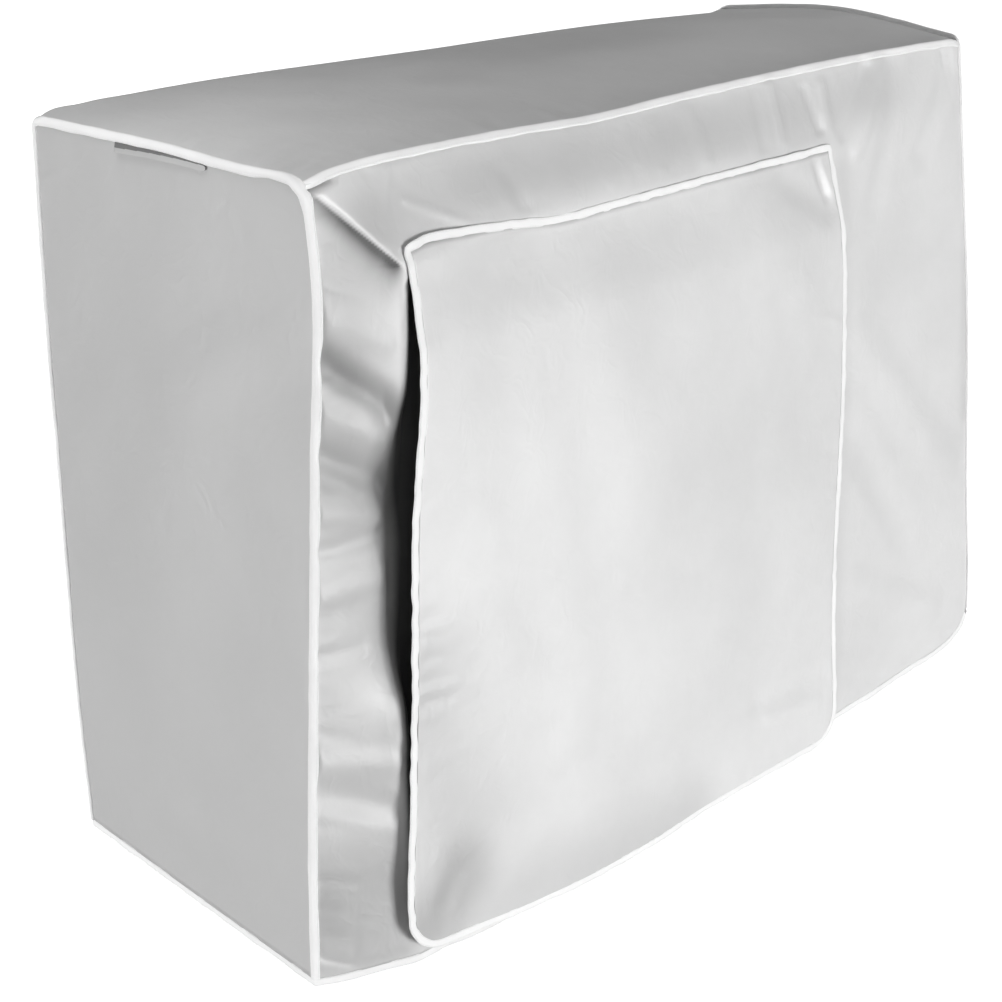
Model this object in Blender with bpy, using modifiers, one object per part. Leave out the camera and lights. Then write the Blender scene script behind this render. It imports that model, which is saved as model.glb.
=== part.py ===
"""Fitted cloth cover for the outdoor unit of an air conditioner.

The cover is a box of light coated cloth, open below: one strip that makes the
top and the back, two side panels, a front panel and a loose front flap that is
sewn on along its top edge. White tape binds the seams, the flap and the hem.

Sizes are worked out in a maker's frame: x from the left side, y from the front
and z up from the bottom of the unit. Metres throughout. The finished cover is
then moved so that its origin lies under the middle of the top, where the unit
carries it.
"""

import math
from collections import namedtuple

import bmesh
import bpy
import numpy as np

# Driving dimensions
WIDTH = 0.94
DEPTH = 0.355
CLOTH = 0.0015
GAP = 0.0004
EDGE_GAP = 0.0006
SEAM_INSET = 0.0028
BACK_FOLD_RADIUS = 0.025

TAPE_WIDTH = 0.009
TAPE_THICKNESS = 0.003
TAPE_LEG = 0.0065
TAPE_RISE = 0.0019
TAPE_LIFT = 0.0009
TAPE_SHOULDER = 0.0012

FLAP_LEFT = 0.075
FLAP_RIGHT = 0.690
FLAP_TOP = 0.635
FLAP_BOTTOM = -0.008
FLAP_CORNER_RADIUS = 0.038
FLAP_SEAT = 0.0040

TAB_FRONT = 0.114
TAB_BACK = 0.235
TAB_DROP = 0.0076
TAB_HEIGHT = 0.0085

# The four upright edges, from the hem up: they lean and bow as hung cloth does
Edge = namedtuple("Edge", "height x y")
FRONT_LEFT_EDGE = (
    Edge(height=-0.020, x=-0.016, y=-0.006),
    Edge(height=0.100, x=-0.012, y=-0.003),
    Edge(height=0.250, x=-0.003, y=0.000),
    Edge(height=0.450, x=0.006, y=0.000),
    Edge(height=0.640, x=0.011, y=0.000),
    Edge(height=0.710, x=0.008, y=0.000),
)
FRONT_RIGHT_EDGE = (
    Edge(height=0.050, x=0.950, y=-0.032),
    Edge(height=0.200, x=0.948, y=-0.024),
    Edge(height=0.420, x=0.943, y=-0.010),
    Edge(height=0.550, x=0.935, y=0.000),
    Edge(height=0.640, x=0.927, y=0.006),
    Edge(height=0.710, x=0.925, y=0.012),
)
BACK_LEFT_EDGE = (
    Edge(height=-0.010, x=0.006, y=DEPTH),
    Edge(height=0.140, x=-0.001, y=DEPTH),
    Edge(height=0.350, x=-0.004, y=DEPTH),
    Edge(height=0.550, x=-0.006, y=DEPTH),
    Edge(height=0.710, x=-0.005, y=DEPTH),
)
BACK_RIGHT_EDGE = (
    Edge(height=-0.010, x=0.942, y=DEPTH),
    Edge(height=0.350, x=0.944, y=DEPTH),
    Edge(height=0.710, x=0.941, y=DEPTH - 0.004),
)

# Heights of the top's four sides: place runs from 0 to 1 along each
Height = namedtuple("Height", "place z")
TOP_FRONT = (
    Height(place=0.00, z=0.700),
    Height(place=0.05, z=0.704),
    Height(place=0.15, z=0.706),
    Height(place=0.28, z=0.705),
    Height(place=0.37, z=0.703),
    Height(place=0.48, z=0.706),
    Height(place=0.66, z=0.709),
    Height(place=0.85, z=0.709),
    Height(place=1.00, z=0.706),
)
TOP_LEFT = (
    Height(place=0.00, z=0.700),
    Height(place=0.20, z=0.698),
    Height(place=0.50, z=0.702),
    Height(place=0.72, z=0.701),
    Height(place=1.00, z=0.708),
)
TOP_BACK = (
    Height(place=0.00, z=0.708),
    Height(place=0.10, z=0.716),
    Height(place=0.50, z=0.714),
    Height(place=0.75, z=0.712),
    Height(place=1.00, z=0.704),
)
TOP_RIGHT = (
    Height(place=0.00, z=0.706),
    Height(place=0.50, z=0.719),
    Height(place=1.00, z=0.704),
)
TOP_CROWN = 0.004

# Heights of the hem along the front, the sides and the back
HEM_FRONT = (
    Height(place=0.00, z=-0.019),
    Height(place=0.14, z=-0.017),
    Height(place=0.50, z=-0.006),
    Height(place=0.78, z=-0.001),
    Height(place=0.90, z=0.010),
    Height(place=0.94, z=0.024),
    Height(place=0.97, z=0.048),
    Height(place=0.99, z=0.057),
    Height(place=1.00, z=0.058),
)
HEM_LEFT = (
    Height(place=0.00, z=-0.019),
    Height(place=0.50, z=-0.012),
    Height(place=1.00, z=-0.003),
)
HEM_BACK = (
    Height(place=0.00, z=-0.003),
    Height(place=0.50, z=-0.006),
    Height(place=1.00, z=-0.003),
)
HEM_RIGHT = (
    Height(place=0.00, z=0.058),
    Height(place=0.12, z=0.052),
    Height(place=0.25, z=0.032),
    Height(place=0.50, z=0.004),
    Height(place=1.00, z=-0.003),
)

# How far the front stands out of its upright plane: at the flap's top edge,
# at mid height and at the hem
Swell = namedtuple("Swell", "x flap_line middle hem")
FRONT_SWELL = (
    Swell(x=0.00, flap_line=0.000, middle=0.000, hem=0.000),
    Swell(x=0.05, flap_line=0.014, middle=-0.004, hem=0.025),
    Swell(x=0.10, flap_line=0.030, middle=-0.008, hem=0.036),
    Swell(x=0.25, flap_line=0.029, middle=0.004, hem=0.038),
    Swell(x=0.50, flap_line=0.021, middle=0.012, hem=0.025),
    Swell(x=0.68, flap_line=0.013, middle=0.012, hem=0.005),
    Swell(x=0.80, flap_line=0.009, middle=0.007, hem=-0.006),
    Swell(x=0.94, flap_line=0.000, middle=0.000, hem=0.000),
)

# How far the flap stands out of the unit's front plane, down its left edge, its
# middle and its right edge
Hang = namedtuple("Hang", "height left middle right")
FLAP_HANG = (
    Hang(height=-0.008, left=0.053, middle=0.064, right=0.050),
    Hang(height=0.200, left=0.042, middle=0.059, right=0.040),
    Hang(height=0.370, left=0.044, middle=0.054, right=0.033),
    Hang(height=0.500, left=0.049, middle=0.047, right=0.028),
    Hang(height=0.635, left=0.036, middle=0.032, right=0.019),
)

# Where the flap's two sides run
Side = namedtuple("Side", "height left right")
FLAP_SIDES = (
    Side(height=-0.008, left=0.058, right=0.686),
    Side(height=0.060, left=0.057, right=0.686),
    Side(height=0.120, left=0.066, right=0.683),
    Side(height=0.200, left=0.072, right=0.684),
    Side(height=0.350, left=0.075, right=0.692),
    Side(height=0.520, left=0.078, right=0.691),
    Side(height=0.635, left=0.075, right=0.677),
)

# How far the flap's bottom edge lies above or below its straight line
Sag = namedtuple("Sag", "x rise")
FLAP_SAG = (
    Sag(x=0.070, rise=0.004),
    Sag(x=0.130, rise=0.003),
    Sag(x=0.280, rise=-0.003),
    Sag(x=0.370, rise=0.000),
    Sag(x=0.470, rise=0.006),
    Sag(x=0.620, rise=0.004),
    Sag(x=0.690, rise=0.003),
)
FLAP_SAG_HEIGHT = 0.200

# Soft folds: a trough or ridge from one point to another, by half width
Fold = namedtuple("Fold", "start end half_width rise")
FRONT_FOLDS = (
    Fold(start=(0.010, 0.560), end=(0.085, 0.520), half_width=0.022, rise=-0.005),
    Fold(start=(0.006, 0.455), end=(0.090, 0.425), half_width=0.026, rise=-0.004),
    Fold(start=(0.004, 0.350), end=(0.075, 0.390), half_width=0.024, rise=0.003),
    Fold(start=(-0.002, 0.250), end=(0.050, 0.272), half_width=0.022, rise=-0.003),
    Fold(start=(-0.008, 0.110), end=(0.075, 0.118), half_width=0.030, rise=0.004),
    Fold(start=(-0.010, 0.020), end=(0.030, 0.000), half_width=0.016, rise=-0.003),
    Fold(start=(0.775, 0.700), end=(0.760, 0.560), half_width=0.030, rise=0.003),
    Fold(start=(0.900, 0.680), end=(0.850, 0.600), half_width=0.028, rise=-0.003),
    Fold(start=(0.740, 0.330), end=(0.900, 0.300), half_width=0.045, rise=0.003),
)
FLAP_FOLDS = (
    Fold(start=(0.100, 0.070), end=(0.160, 0.010), half_width=0.030, rise=-0.004),
    Fold(start=(0.560, 0.090), end=(0.640, 0.030), half_width=0.040, rise=0.004),
    Fold(start=(0.640, 0.600), end=(0.670, 0.560), half_width=0.022, rise=-0.003),
    Fold(start=(0.300, 0.560), end=(0.420, 0.100), half_width=0.090, rise=0.003),
)
TOP_FOLDS = (
    Fold(start=(0.045, 0.035), end=(0.055, 0.000), half_width=0.016, rise=0.002),
    Fold(start=(0.190, 0.050), end=(0.225, 0.000), half_width=0.022, rise=0.003),
    Fold(start=(0.300, 0.050), end=(0.340, 0.000), half_width=0.022, rise=0.003),
    Fold(start=(0.395, 0.040), end=(0.425, 0.000), half_width=0.020, rise=0.002),
    Fold(start=(0.250, 0.230), end=(0.560, 0.300), half_width=0.060, rise=0.002),
)

# Where the grids have their lines, from 0 to 1
ACROSS = (
    0.0, 0.03, 0.06, 0.09, 0.12, 0.16, 0.20, 0.24, 0.28, 0.32, 0.36, 0.40, 0.44, 0.50,
    0.56, 0.62, 0.68, 0.73, 0.78, 0.83, 0.88, 0.92, 0.95, 0.975, 1.0,
)
UP_FRONT = (
    0.0, 0.05, 0.11, 0.18, 0.25, 0.32, 0.39, 0.46, 0.53, 0.59, 0.65, 0.71, 0.76, 0.81,
    0.85, 0.895, 0.93, 0.965, 1.0,
)
SIDE_COLUMNS = 8
WALL_ROWS = 10
FOLD_STEPS = 3
FLAP_COLUMNS = 14
FLAP_ROWS = 13

ORIGIN = np.array((WIDTH / 2, DEPTH / 2, 0.7145 - CLOTH))


def curve_through(places, sizes, value):
    """Read a smooth curve through a table's rows, flat beyond its ends."""
    places = np.asarray(places, dtype=float)
    sizes = np.asarray(sizes, dtype=float)
    value = min(max(value, places[0]), places[-1])
    slopes = np.gradient(sizes, places)
    row = min(int(np.searchsorted(places, value, side="right")) - 1, len(places) - 2)
    span = places[row + 1] - places[row]
    t = (value - places[row]) / span
    start = (1 + 2 * t) * (1 - t) ** 2 * sizes[row] + t * (1 - t) ** 2 * span * slopes[row]
    end = t * t * (3 - 2 * t) * sizes[row + 1] - t * t * (1 - t) * span * slopes[row + 1]
    return float(start + end)


def read(table, column, value):
    """Read one named column of a table at a place along its first column."""
    first = table[0]._fields[0]
    places = [getattr(row, first) for row in table]
    return curve_through(places, [getattr(row, column) for row in table], value)


def edge(table, height):
    """Point of an upright edge at a height."""
    return np.array((read(table, "x", height), read(table, "y", height), height))


def mix(start, end, share):
    """Point or number part of the way from start to end."""
    return start + (end - start) * share


def eased(value):
    """Ease a share from 0 to 1."""
    value = min(max(value, 0.0), 1.0)
    return value * value * (3 - 2 * value)


def folded(folds, across, along):
    """Sum of the soft folds at one point of a panel."""
    total = 0.0
    point = np.array((across, along))
    for fold in folds:
        start = np.array(fold.start)
        run = np.array(fold.end) - start
        share = min(max(float(np.dot(point - start, run) / np.dot(run, run)), 0.0), 1.0)
        away = np.linalg.norm(point - start - run * share) / fold.half_width
        if away < 1.0:
            total += fold.rise * (1 + math.cos(math.pi * away)) / 2
    return total


def top_height(across, back):
    """Height of the top: a patch stretched between its four sides, a little crowned."""
    front = read(TOP_FRONT, "z", across)
    rear = read(TOP_BACK, "z", across)
    left = read(TOP_LEFT, "z", back)
    right = read(TOP_RIGHT, "z", back)
    corners = mix(
        mix(TOP_FRONT[0].z, TOP_FRONT[-1].z, across),
        mix(TOP_BACK[0].z, TOP_BACK[-1].z, across),
        back,
    )
    crown = TOP_CROWN * math.sin(math.pi * across) * math.sin(math.pi * back)
    return mix(front, rear, back) + mix(left, right, across) - corners + crown


def front_swell(x, height):
    """How far the front panel stands out, from the hem, past the middle, to its top seam."""
    hem = read(FRONT_SWELL, "hem", x)
    middle = read(FRONT_SWELL, "middle", x)
    flap_line = read(FRONT_SWELL, "flap_line", x)
    seam = read(TOP_FRONT, "z", x / WIDTH)
    below = FLAP_TOP - 0.033
    heights = (-0.02, 0.06, 0.30, 0.50, below, FLAP_TOP, seam)
    sizes = (hem, mix(hem, middle, 0.25), mix(hem, middle, 0.85), middle,
             mix(middle, flap_line, 0.55), flap_line, 0.0)
    return curve_through(heights, sizes, height)


def front_point(across, up):
    """Point of the front panel's outer face."""
    low = read(HEM_FRONT, "z", across) + TAPE_WIDTH + GAP
    high = read(TOP_FRONT, "z", across) - SEAM_INSET
    height = mix(low, high, up)
    point = mix(edge(FRONT_LEFT_EDGE, height), edge(FRONT_RIGHT_EDGE, height), across)
    inside = eased(across / 0.06) * eased((1 - across) / 0.06) * eased((1 - up) / 0.05)
    inside *= eased(up / 0.04)
    point[1] -= front_swell(point[0], height)
    point[1] -= folded(FRONT_FOLDS, point[0], height) * inside
    return point


def strip_point(across, stage):
    """Point of the strip that is the top, then its fold, then the back.

    stage runs from 0 to 1 over the top, to 2 round the fold and to 3 at the hem.
    """
    back = min(stage, 1.0)
    height = top_height(across, back)
    left = edge(FRONT_LEFT_EDGE, height)
    right = edge(FRONT_RIGHT_EDGE, height)
    rear_left = edge(BACK_LEFT_EDGE, height)
    rear_right = edge(BACK_RIGHT_EDGE, height)
    rear_left[1] -= BACK_FOLD_RADIUS
    rear_right[1] -= BACK_FOLD_RADIUS
    point = mix(mix(left, right, across), mix(rear_left, rear_right, across), back)
    if stage <= 1.0:
        inside = eased(across / 0.04) * eased((1 - across) / 0.04) * eased(back / 0.06)
        point[2] = height + folded(TOP_FOLDS, point[0], point[1]) * inside
        return point
    turn = min(stage - 1.0, 1.0) * math.pi / 2
    point[1] += BACK_FOLD_RADIUS * math.sin(turn)
    point[2] = height - BACK_FOLD_RADIUS * (1 - math.cos(turn))
    if stage <= 2.0:
        return point
    low = read(HEM_BACK, "z", across) + TAPE_WIDTH + GAP
    drop = mix(point[2], low, stage - 2.0)
    wall = mix(edge(BACK_LEFT_EDGE, drop), edge(BACK_RIGHT_EDGE, drop), across)
    wall[1] += 0.006 * math.sin(math.pi * across) * math.sin(math.pi * (stage - 2.0))
    return wall


def side_levels():
    """Shares of the height at which a side panel has its rows, close round the fold."""
    full = TOP_LEFT[-1].z
    straight = 1 - BACK_FOLD_RADIUS / full
    rows = [straight * row / WALL_ROWS for row in range(WALL_ROWS + 1)]
    for step in range(1, FOLD_STEPS + 1):
        turn = math.pi / 2 * step / FOLD_STEPS
        rows.append(straight + (1 - straight) * math.sin(turn))
    return rows


def side_point(front_edge, back_edge, hem, top, out, back, level):
    """Point of a side panel's outer face. out is the way it bows: -1 left, 1 right."""
    low = read(hem, "z", back) + TAPE_WIDTH + GAP
    high = read(top, "z", back) - SEAM_INSET
    rear_high = read(top, "z", 1.0) - SEAM_INSET
    rear_height = mix(read(hem, "z", 1.0) + TAPE_WIDTH + GAP, rear_high, level)
    radius = BACK_FOLD_RADIUS - SEAM_INSET
    above = max(rear_height - (rear_high - radius), 0.0)
    drawn_in = radius - math.sqrt(max(radius ** 2 - above ** 2, 0.0))
    height = mix(low, high, level)
    near = edge(front_edge, height)
    far = edge(back_edge, height)
    near[1] += SEAM_INSET
    far[1] -= SEAM_INSET + drawn_in
    point = mix(near, far, back)
    bow = math.sin(math.pi * back) * math.sin(math.pi * min(level, 1.0))
    ripple = 0.0015 * math.sin(9.0 * back + 5.0 * level) * bow
    point[0] += out * (0.003 * bow + ripple)
    return point


def left_point(back, level):
    """Point of the left panel's outer face."""
    return side_point(FRONT_LEFT_EDGE, BACK_LEFT_EDGE, HEM_LEFT, TOP_LEFT, -1, back, level)


def right_point(back, level):
    """Point of the right panel's outer face."""
    return side_point(FRONT_RIGHT_EDGE, BACK_RIGHT_EDGE, HEM_RIGHT, TOP_RIGHT, 1, back, level)


def flap_out(x, height):
    """Depth of the flap's outer face: seated on the front at its top, hanging free below."""
    place = (x - FLAP_LEFT) / (FLAP_RIGHT - FLAP_LEFT)
    left = read(FLAP_HANG, "left", height)
    middle = read(FLAP_HANG, "middle", height)
    right = read(FLAP_HANG, "right", height)
    hang = -curve_through((0.0, 0.2, 0.5, 1.0), (left, mix(left, middle, 0.8), middle, right), place)
    seat = front_point_y(x, FLAP_TOP) - FLAP_SEAT
    fall = (FLAP_TOP - height) / (FLAP_TOP - FLAP_BOTTOM)
    inside = eased(fall / 0.08)
    return mix(seat, hang, eased(fall / 0.14)) - folded(FLAP_FOLDS, x, height) * inside


def front_point_y(x, height):
    """Depth of the front panel's outer face at a place given by x and height."""
    left = edge(FRONT_LEFT_EDGE, height)
    right = edge(FRONT_RIGHT_EDGE, height)
    share = (x - left[0]) / (right[0] - left[0])
    return mix(left[1], right[1], share) - front_swell(x, height)


def flap_rows():
    """Rows of the flap's cloth: height and how far its corners draw in there."""
    radius = FLAP_CORNER_RADIUS - TAPE_WIDTH
    top = FLAP_TOP - TAPE_WIDTH
    bottom = FLAP_BOTTOM + TAPE_WIDTH
    rows = [(mix(top, bottom + radius, row / FLAP_ROWS), 0.0) for row in range(FLAP_ROWS + 1)]
    for step in range(1, FOLD_STEPS + 1):
        turn = math.pi / 2 * step / FOLD_STEPS
        rows.append((bottom + radius * (1 - math.sin(turn)), radius * (1 - math.cos(turn))))
    return rows


def flap_point(share, height, draw):
    """Point of the flap's outer face, share of the way across its cloth."""
    left = read(FLAP_SIDES, "left", height) + TAPE_WIDTH + draw
    right = read(FLAP_SIDES, "right", height) - TAPE_WIDTH - draw
    x = mix(left, right, share)
    z = height + read(FLAP_SAG, "rise", x) * eased(1 - height / FLAP_SAG_HEIGHT)
    return np.array((x, flap_out(x, z), z))


def lattice(shape, columns, rows):
    """Points of a surface on a lattice, one line of points for each row."""
    return np.array([[shape(column, row) for column in columns] for row in rows])


def lattice_normals(points):
    """Unit normals of a lattice of points, by the directions of its lines."""
    along = np.gradient(points, axis=1)
    up = np.gradient(points, axis=0)
    normals = np.cross(along, up)
    return normals / np.linalg.norm(normals, axis=2, keepdims=True)


def material(name, colour, roughness):
    """Cloth material with one colour."""
    finish = bpy.data.materials.new(name)
    finish.use_nodes = True
    shader = finish.node_tree.nodes["Principled BSDF"]
    shader.inputs["Base Color"].default_value = (*colour, 1.0)
    shader.inputs["Roughness"].default_value = roughness
    shader.inputs["Metallic"].default_value = 0.0
    return finish


def add_object(name, mesh, finish):
    """Put a mesh into the cover's collection as one named piece."""
    piece = bpy.data.objects.new(name, mesh)
    mesh.materials.append(finish)
    mesh.shade_smooth()
    bpy.data.collections["air_conditioner_cover"].objects.link(piece)
    return piece


def cloth_panel(name, points, finish):
    """Cloth sheet: a grid bent onto a lattice of points and given its thickness inwards."""
    rows, columns = points.shape[:2]
    mesh = bpy.data.meshes.new(name)
    bm = bmesh.new()
    bmesh.ops.create_grid(bm, x_segments=columns - 1, y_segments=rows - 1, size=1.0)
    for vertex in bm.verts:
        column = round((vertex.co.x + 1) / 2 * (columns - 1))
        row = round((vertex.co.y + 1) / 2 * (rows - 1))
        vertex.co = points[row, column] - ORIGIN
    bm.to_mesh(mesh)
    bm.free()
    piece = add_object(name, mesh, finish)
    thickness = piece.modifiers.new("thickness", "SOLIDIFY")
    thickness.thickness = CLOTH
    thickness.offset = -1.0
    return piece


def loft(name, rings, closed, finish):
    """Tape: rings of points joined in order, with ends closed unless it is a loop."""
    mesh = bpy.data.meshes.new(name)
    bm = bmesh.new()
    loops = [[bm.verts.new(point - ORIGIN) for point in ring] for ring in rings]
    corners = len(loops[0])
    pairs = list(zip(loops, loops[1:]))
    if closed:
        pairs.append((loops[-1], loops[0]))
    for first, second in pairs:
        for corner in range(corners):
            following = (corner + 1) % corners
            quad = (first[corner], first[following], second[following], second[corner])
            bm.faces.new(quad)
    if not closed:
        for loop in (loops[0], loops[-1]):
            for corner in range(corners - 2):
                bm.faces.new((loop[-1], loop[corner], loop[corner + 1]))
    bmesh.ops.recalc_face_normals(bm, faces=bm.faces)
    if bm.calc_volume(signed=True) < 0:
        bmesh.ops.reverse_faces(bm, faces=bm.faces)
    bmesh.ops.triangulate(bm, faces=bm.faces)
    bm.to_mesh(mesh)
    bm.free()
    return add_object(name, mesh, finish)


def unit(vector):
    """Vector of length one."""
    return vector / np.linalg.norm(vector)


def directions(path, closed):
    """Unit directions along a path, halved at its corners."""
    ahead = np.roll(path, -1, axis=0) - path
    behind = path - np.roll(path, 1, axis=0)
    if not closed:
        ahead[-1] = behind[-1]
        behind[0] = ahead[0]
    ahead /= np.linalg.norm(ahead, axis=1, keepdims=True)
    behind /= np.linalg.norm(behind, axis=1, keepdims=True)
    total = ahead + behind
    return total / np.linalg.norm(total, axis=1, keepdims=True)


def seam_tape(name, path, legs_a, legs_b, finish):
    """Tape bent over a seam where two panels meet.

    legs_a and legs_b lead away from the seam on each panel. A leg that is longer
    than one makes the mitre at a corner.
    """
    tangents = directions(path, closed=False)
    rings = []
    for point, tangent, leg_a, leg_b in zip(path, tangents, legs_a, legs_b):
        normal_a = unit(np.cross(leg_a, tangent))
        normal_b = unit(np.cross(tangent, leg_b))
        if np.dot(normal_a, leg_b) > 0:
            normal_a = -normal_a
        if np.dot(normal_b, leg_a) > 0:
            normal_b = -normal_b
        rise_a = normal_a * TAPE_RISE * np.linalg.norm(leg_b)
        rise_b = normal_b * TAPE_RISE * np.linalg.norm(leg_a)
        lift_a = normal_a * TAPE_LIFT * np.linalg.norm(leg_b)
        lift_b = normal_b * TAPE_LIFT * np.linalg.norm(leg_a)
        rings.append((
            point + leg_a * TAPE_LEG + lift_a,
            point + leg_a * TAPE_SHOULDER + rise_a,
            point + leg_b * TAPE_SHOULDER + rise_b,
            point + leg_b * TAPE_LEG + lift_b,
            point + (lift_a + lift_b) * 0.6,
        ))
    return loft(name, rings, False, finish)


def edge_tape(name, path, outward, normals, finish):
    """Flat tape that closes a raw edge: it lies outside the path, astride the cloth."""
    half = TAPE_THICKNESS / 2
    rings = []
    for point, out, normal in zip(path, outward, normals):
        middle = point - normal * CLOTH / 2
        near = middle + out * EDGE_GAP
        far = middle + out * (EDGE_GAP + TAPE_WIDTH)
        rings.append((near + normal * half, far + normal * half * 0.8,
                      far - normal * half * 0.8, near - normal * half))
    return loft(name, rings, True, finish)


def mitred(first, second):
    """Sum of two unit directions, as long as the mitre of their corner needs."""
    return (first + second) / (1 + float(np.dot(first, second)))


def side_binding(name, front, strip, column, finish):
    """Tape round a side panel: up its back edge, over the top and down the front edge.

    column is the line of the front's and the strip's lattices at that side: 0 or -1.
    """
    beside = 1 if column == 0 else -2
    behind = list(strip[::-1])
    ahead = list(front[-2::-1])
    rows = behind + ahead
    path = np.array([row[column] for row in rows])
    across = [unit(row[beside] - row[column]) for row in rows]
    centre = np.array((0.0, DEPTH / 2, 0.35))
    corner = len(behind) - 1
    sideways = np.array((1.0, 0.0, 0.0))
    inward = []
    for index, tangent in enumerate(directions(path, closed=False)):
        leg = unit(np.cross(tangent, sideways))
        if np.dot(leg, centre - path[index]) < 0:
            leg = -leg
        if index == corner:
            leg = mitred(np.array((0.0, 0.0, -1.0)), np.array((0.0, 1.0, 0.0)))
        inward.append(leg)
    return seam_tape(name, path, inward, across, finish)


def front_top_binding(front, strip, finish):
    """Tape along the seam between the top and the front, between the side tapes."""
    path = strip[0].copy()
    down = front[-2] - front[-1]
    back = strip[1] - strip[0]
    down /= np.linalg.norm(down, axis=1, keepdims=True)
    back /= np.linalg.norm(back, axis=1, keepdims=True)
    for end, beside in ((0, 1), (-1, -2)):
        share = (TAPE_LEG + 3 * GAP) / np.linalg.norm(path[beside] - path[end])
        path[end] = mix(path[end], path[beside], share)
        down[end] = unit(mix(down[end], down[beside], share))
        back[end] = unit(mix(back[end], back[beside], share))
    return seam_tape("binding_front_top", path, down, back, finish)


def flap_binding(points, finish):
    """Tape round all four sides of the flap."""
    rows, columns = points.shape[:2]
    normals = lattice_normals(points)
    if normals[rows // 2, columns // 2, 1] > 0:
        normals = -normals
    loop = [(0, column) for column in range(columns)]
    loop += [(row, columns - 1) for row in range(1, rows)]
    loop += [(rows - 1, column) for column in range(columns - 2, -1, -1)]
    loop += [(row, 0) for row in range(rows - 2, 0, -1)]
    path = np.array([points[place] for place in loop])
    facing = np.array([normals[place] for place in loop])
    outward = np.cross(facing, directions(path, closed=True))
    if outward[columns // 2, 2] < 0:
        outward = -outward
    outward /= np.linalg.norm(outward, axis=1, keepdims=True)
    stretch = 1 / math.cos(math.pi / 4)
    outward[0] *= stretch
    outward[columns - 1] *= stretch
    return edge_tape("binding_flap", path, outward, facing, finish)


def hem_binding(front, right, strip, left, finish):
    """Tape round the open bottom of the cover."""
    walls = (
        (front[0], lattice_normals(front)[0]),
        (right[0], lattice_normals(right)[0]),
        (strip[-1][::-1], lattice_normals(strip)[-1][::-1]),
        (left[0][::-1], lattice_normals(left)[0][::-1]),
    )
    centre = np.array((WIDTH / 2, DEPTH / 2, 0.0))
    path = []
    facing = []
    for number, (row, normals) in enumerate(walls):
        flat = normals * np.array((1.0, 1.0, 0.0))
        flat /= np.linalg.norm(flat, axis=1, keepdims=True)
        middle = len(row) // 2
        if np.dot(flat[middle], row[middle] - centre) < 0:
            flat = -flat
        keeps_corners = number % 2 == 0
        keep = slice(None) if keeps_corners else slice(1, -1)
        path.extend(row[keep])
        facing.extend(flat[keep])
    path = np.array(path)
    facing = np.array(facing)
    columns = len(front[0])
    sides = len(right[0]) - 2
    corners = (0, columns - 1, columns + sides, 2 * columns + sides - 1)
    for corner in corners:
        neighbour = corner - 1 if corner in (corners[0], corners[2]) else corner + 1
        facing[corner] = mitred(facing[corner], facing[neighbour])
    down = np.cross(directions(path, closed=True), facing)
    down /= np.linalg.norm(down, axis=1, keepdims=True)
    if down[columns // 2, 2] > 0:
        down = -down
    for corner in corners:
        slopes = [unit(path[corner] - path[corner - 1])[2],
                  unit(path[(corner + 1) % len(path)] - path[corner])[2]]
        steepest = max(abs(slope) for slope in slopes)
        down[corner] = np.array((0.0, 0.0, -1.0)) / math.sqrt(1 - steepest ** 2)
    return edge_tape("binding_hem", path, down, facing, finish)


def side_tab(finish):
    """Narrow tab that hangs from under the left top binding."""
    high = read(TOP_LEFT, "z", TAB_FRONT / DEPTH) - TAB_DROP
    columns = [mix(TAB_FRONT, TAB_BACK, step / 6) for step in range(7)]

    def shape(y, drop):
        back = y / (DEPTH - BACK_FOLD_RADIUS)
        height = high - TAB_HEIGHT * drop
        level = height / TOP_LEFT[0].z
        wall = left_point(back, level)
        stand = CLOTH + EDGE_GAP
        return np.array((wall[0] - stand, y, height))

    points = lattice(shape, list(reversed(columns)), [1.0, 0.5, 0.0])
    return cloth_panel("side_tab", points, finish)


def build_cover():
    """Build every panel and binding of the cover."""
    collection = bpy.data.collections.new("air_conditioner_cover")
    bpy.context.scene.collection.children.link(collection)
    silver = material("silver_cloth", (0.62, 0.63, 0.64), 0.55)
    white = material("white_binding", (0.92, 0.92, 0.92), 0.70)

    levels = side_levels()
    shares = [step / SIDE_COLUMNS for step in range(SIDE_COLUMNS + 1)]
    stages = list(shares)
    stages += [1 + step / FOLD_STEPS for step in range(1, FOLD_STEPS + 1)]
    stages += [2 + step / WALL_ROWS for step in range(1, WALL_ROWS + 1)]

    front = lattice(front_point, ACROSS, UP_FRONT)
    strip = lattice(strip_point, ACROSS, stages)
    left = lattice(left_point, shares, levels)
    right = lattice(right_point, shares, levels)
    flap = np.array([
        [flap_point(step / FLAP_COLUMNS, height, draw) for step in range(FLAP_COLUMNS + 1)]
        for height, draw in flap_rows()
    ])

    cloth_panel("front_panel", front, silver)
    cloth_panel("top_and_back", strip, silver)
    cloth_panel("left_panel", left[:, ::-1], silver)
    cloth_panel("right_panel", right, silver)
    cloth_panel("front_flap", flap[::-1], silver)
    side_tab(silver)

    side_binding("binding_left", front, strip, 0, white)
    side_binding("binding_right", front, strip, -1, white)
    front_top_binding(front, strip, white)
    flap_binding(flap, white)
    hem_binding(front, right, strip, left, white)


def clear_scene():
    """Remove what the scene starts with."""
    for piece in list(bpy.data.objects):
        bpy.data.objects.remove(piece, do_unlink=True)


clear_scene()
build_cover()
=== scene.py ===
"""Looks of a fitted cloth cover for an outdoor air conditioner unit.

Every panel is worked out on a grid from the cover's hanging shape: four upright
edges that lean and bow, the heights of its top and its hem, and how far its front
stands out. Soft folds, seam puckers and the lapped crease at the front corner lie
on that shape. White tape runs along the seams, round the flap and round the hem.

Sizes are in metres in a maker's frame: x from the left side, y from the front and
z up from the bottom of the unit. Sizes.origin takes them to the part's own frame.
"""

from __future__ import annotations

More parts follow.
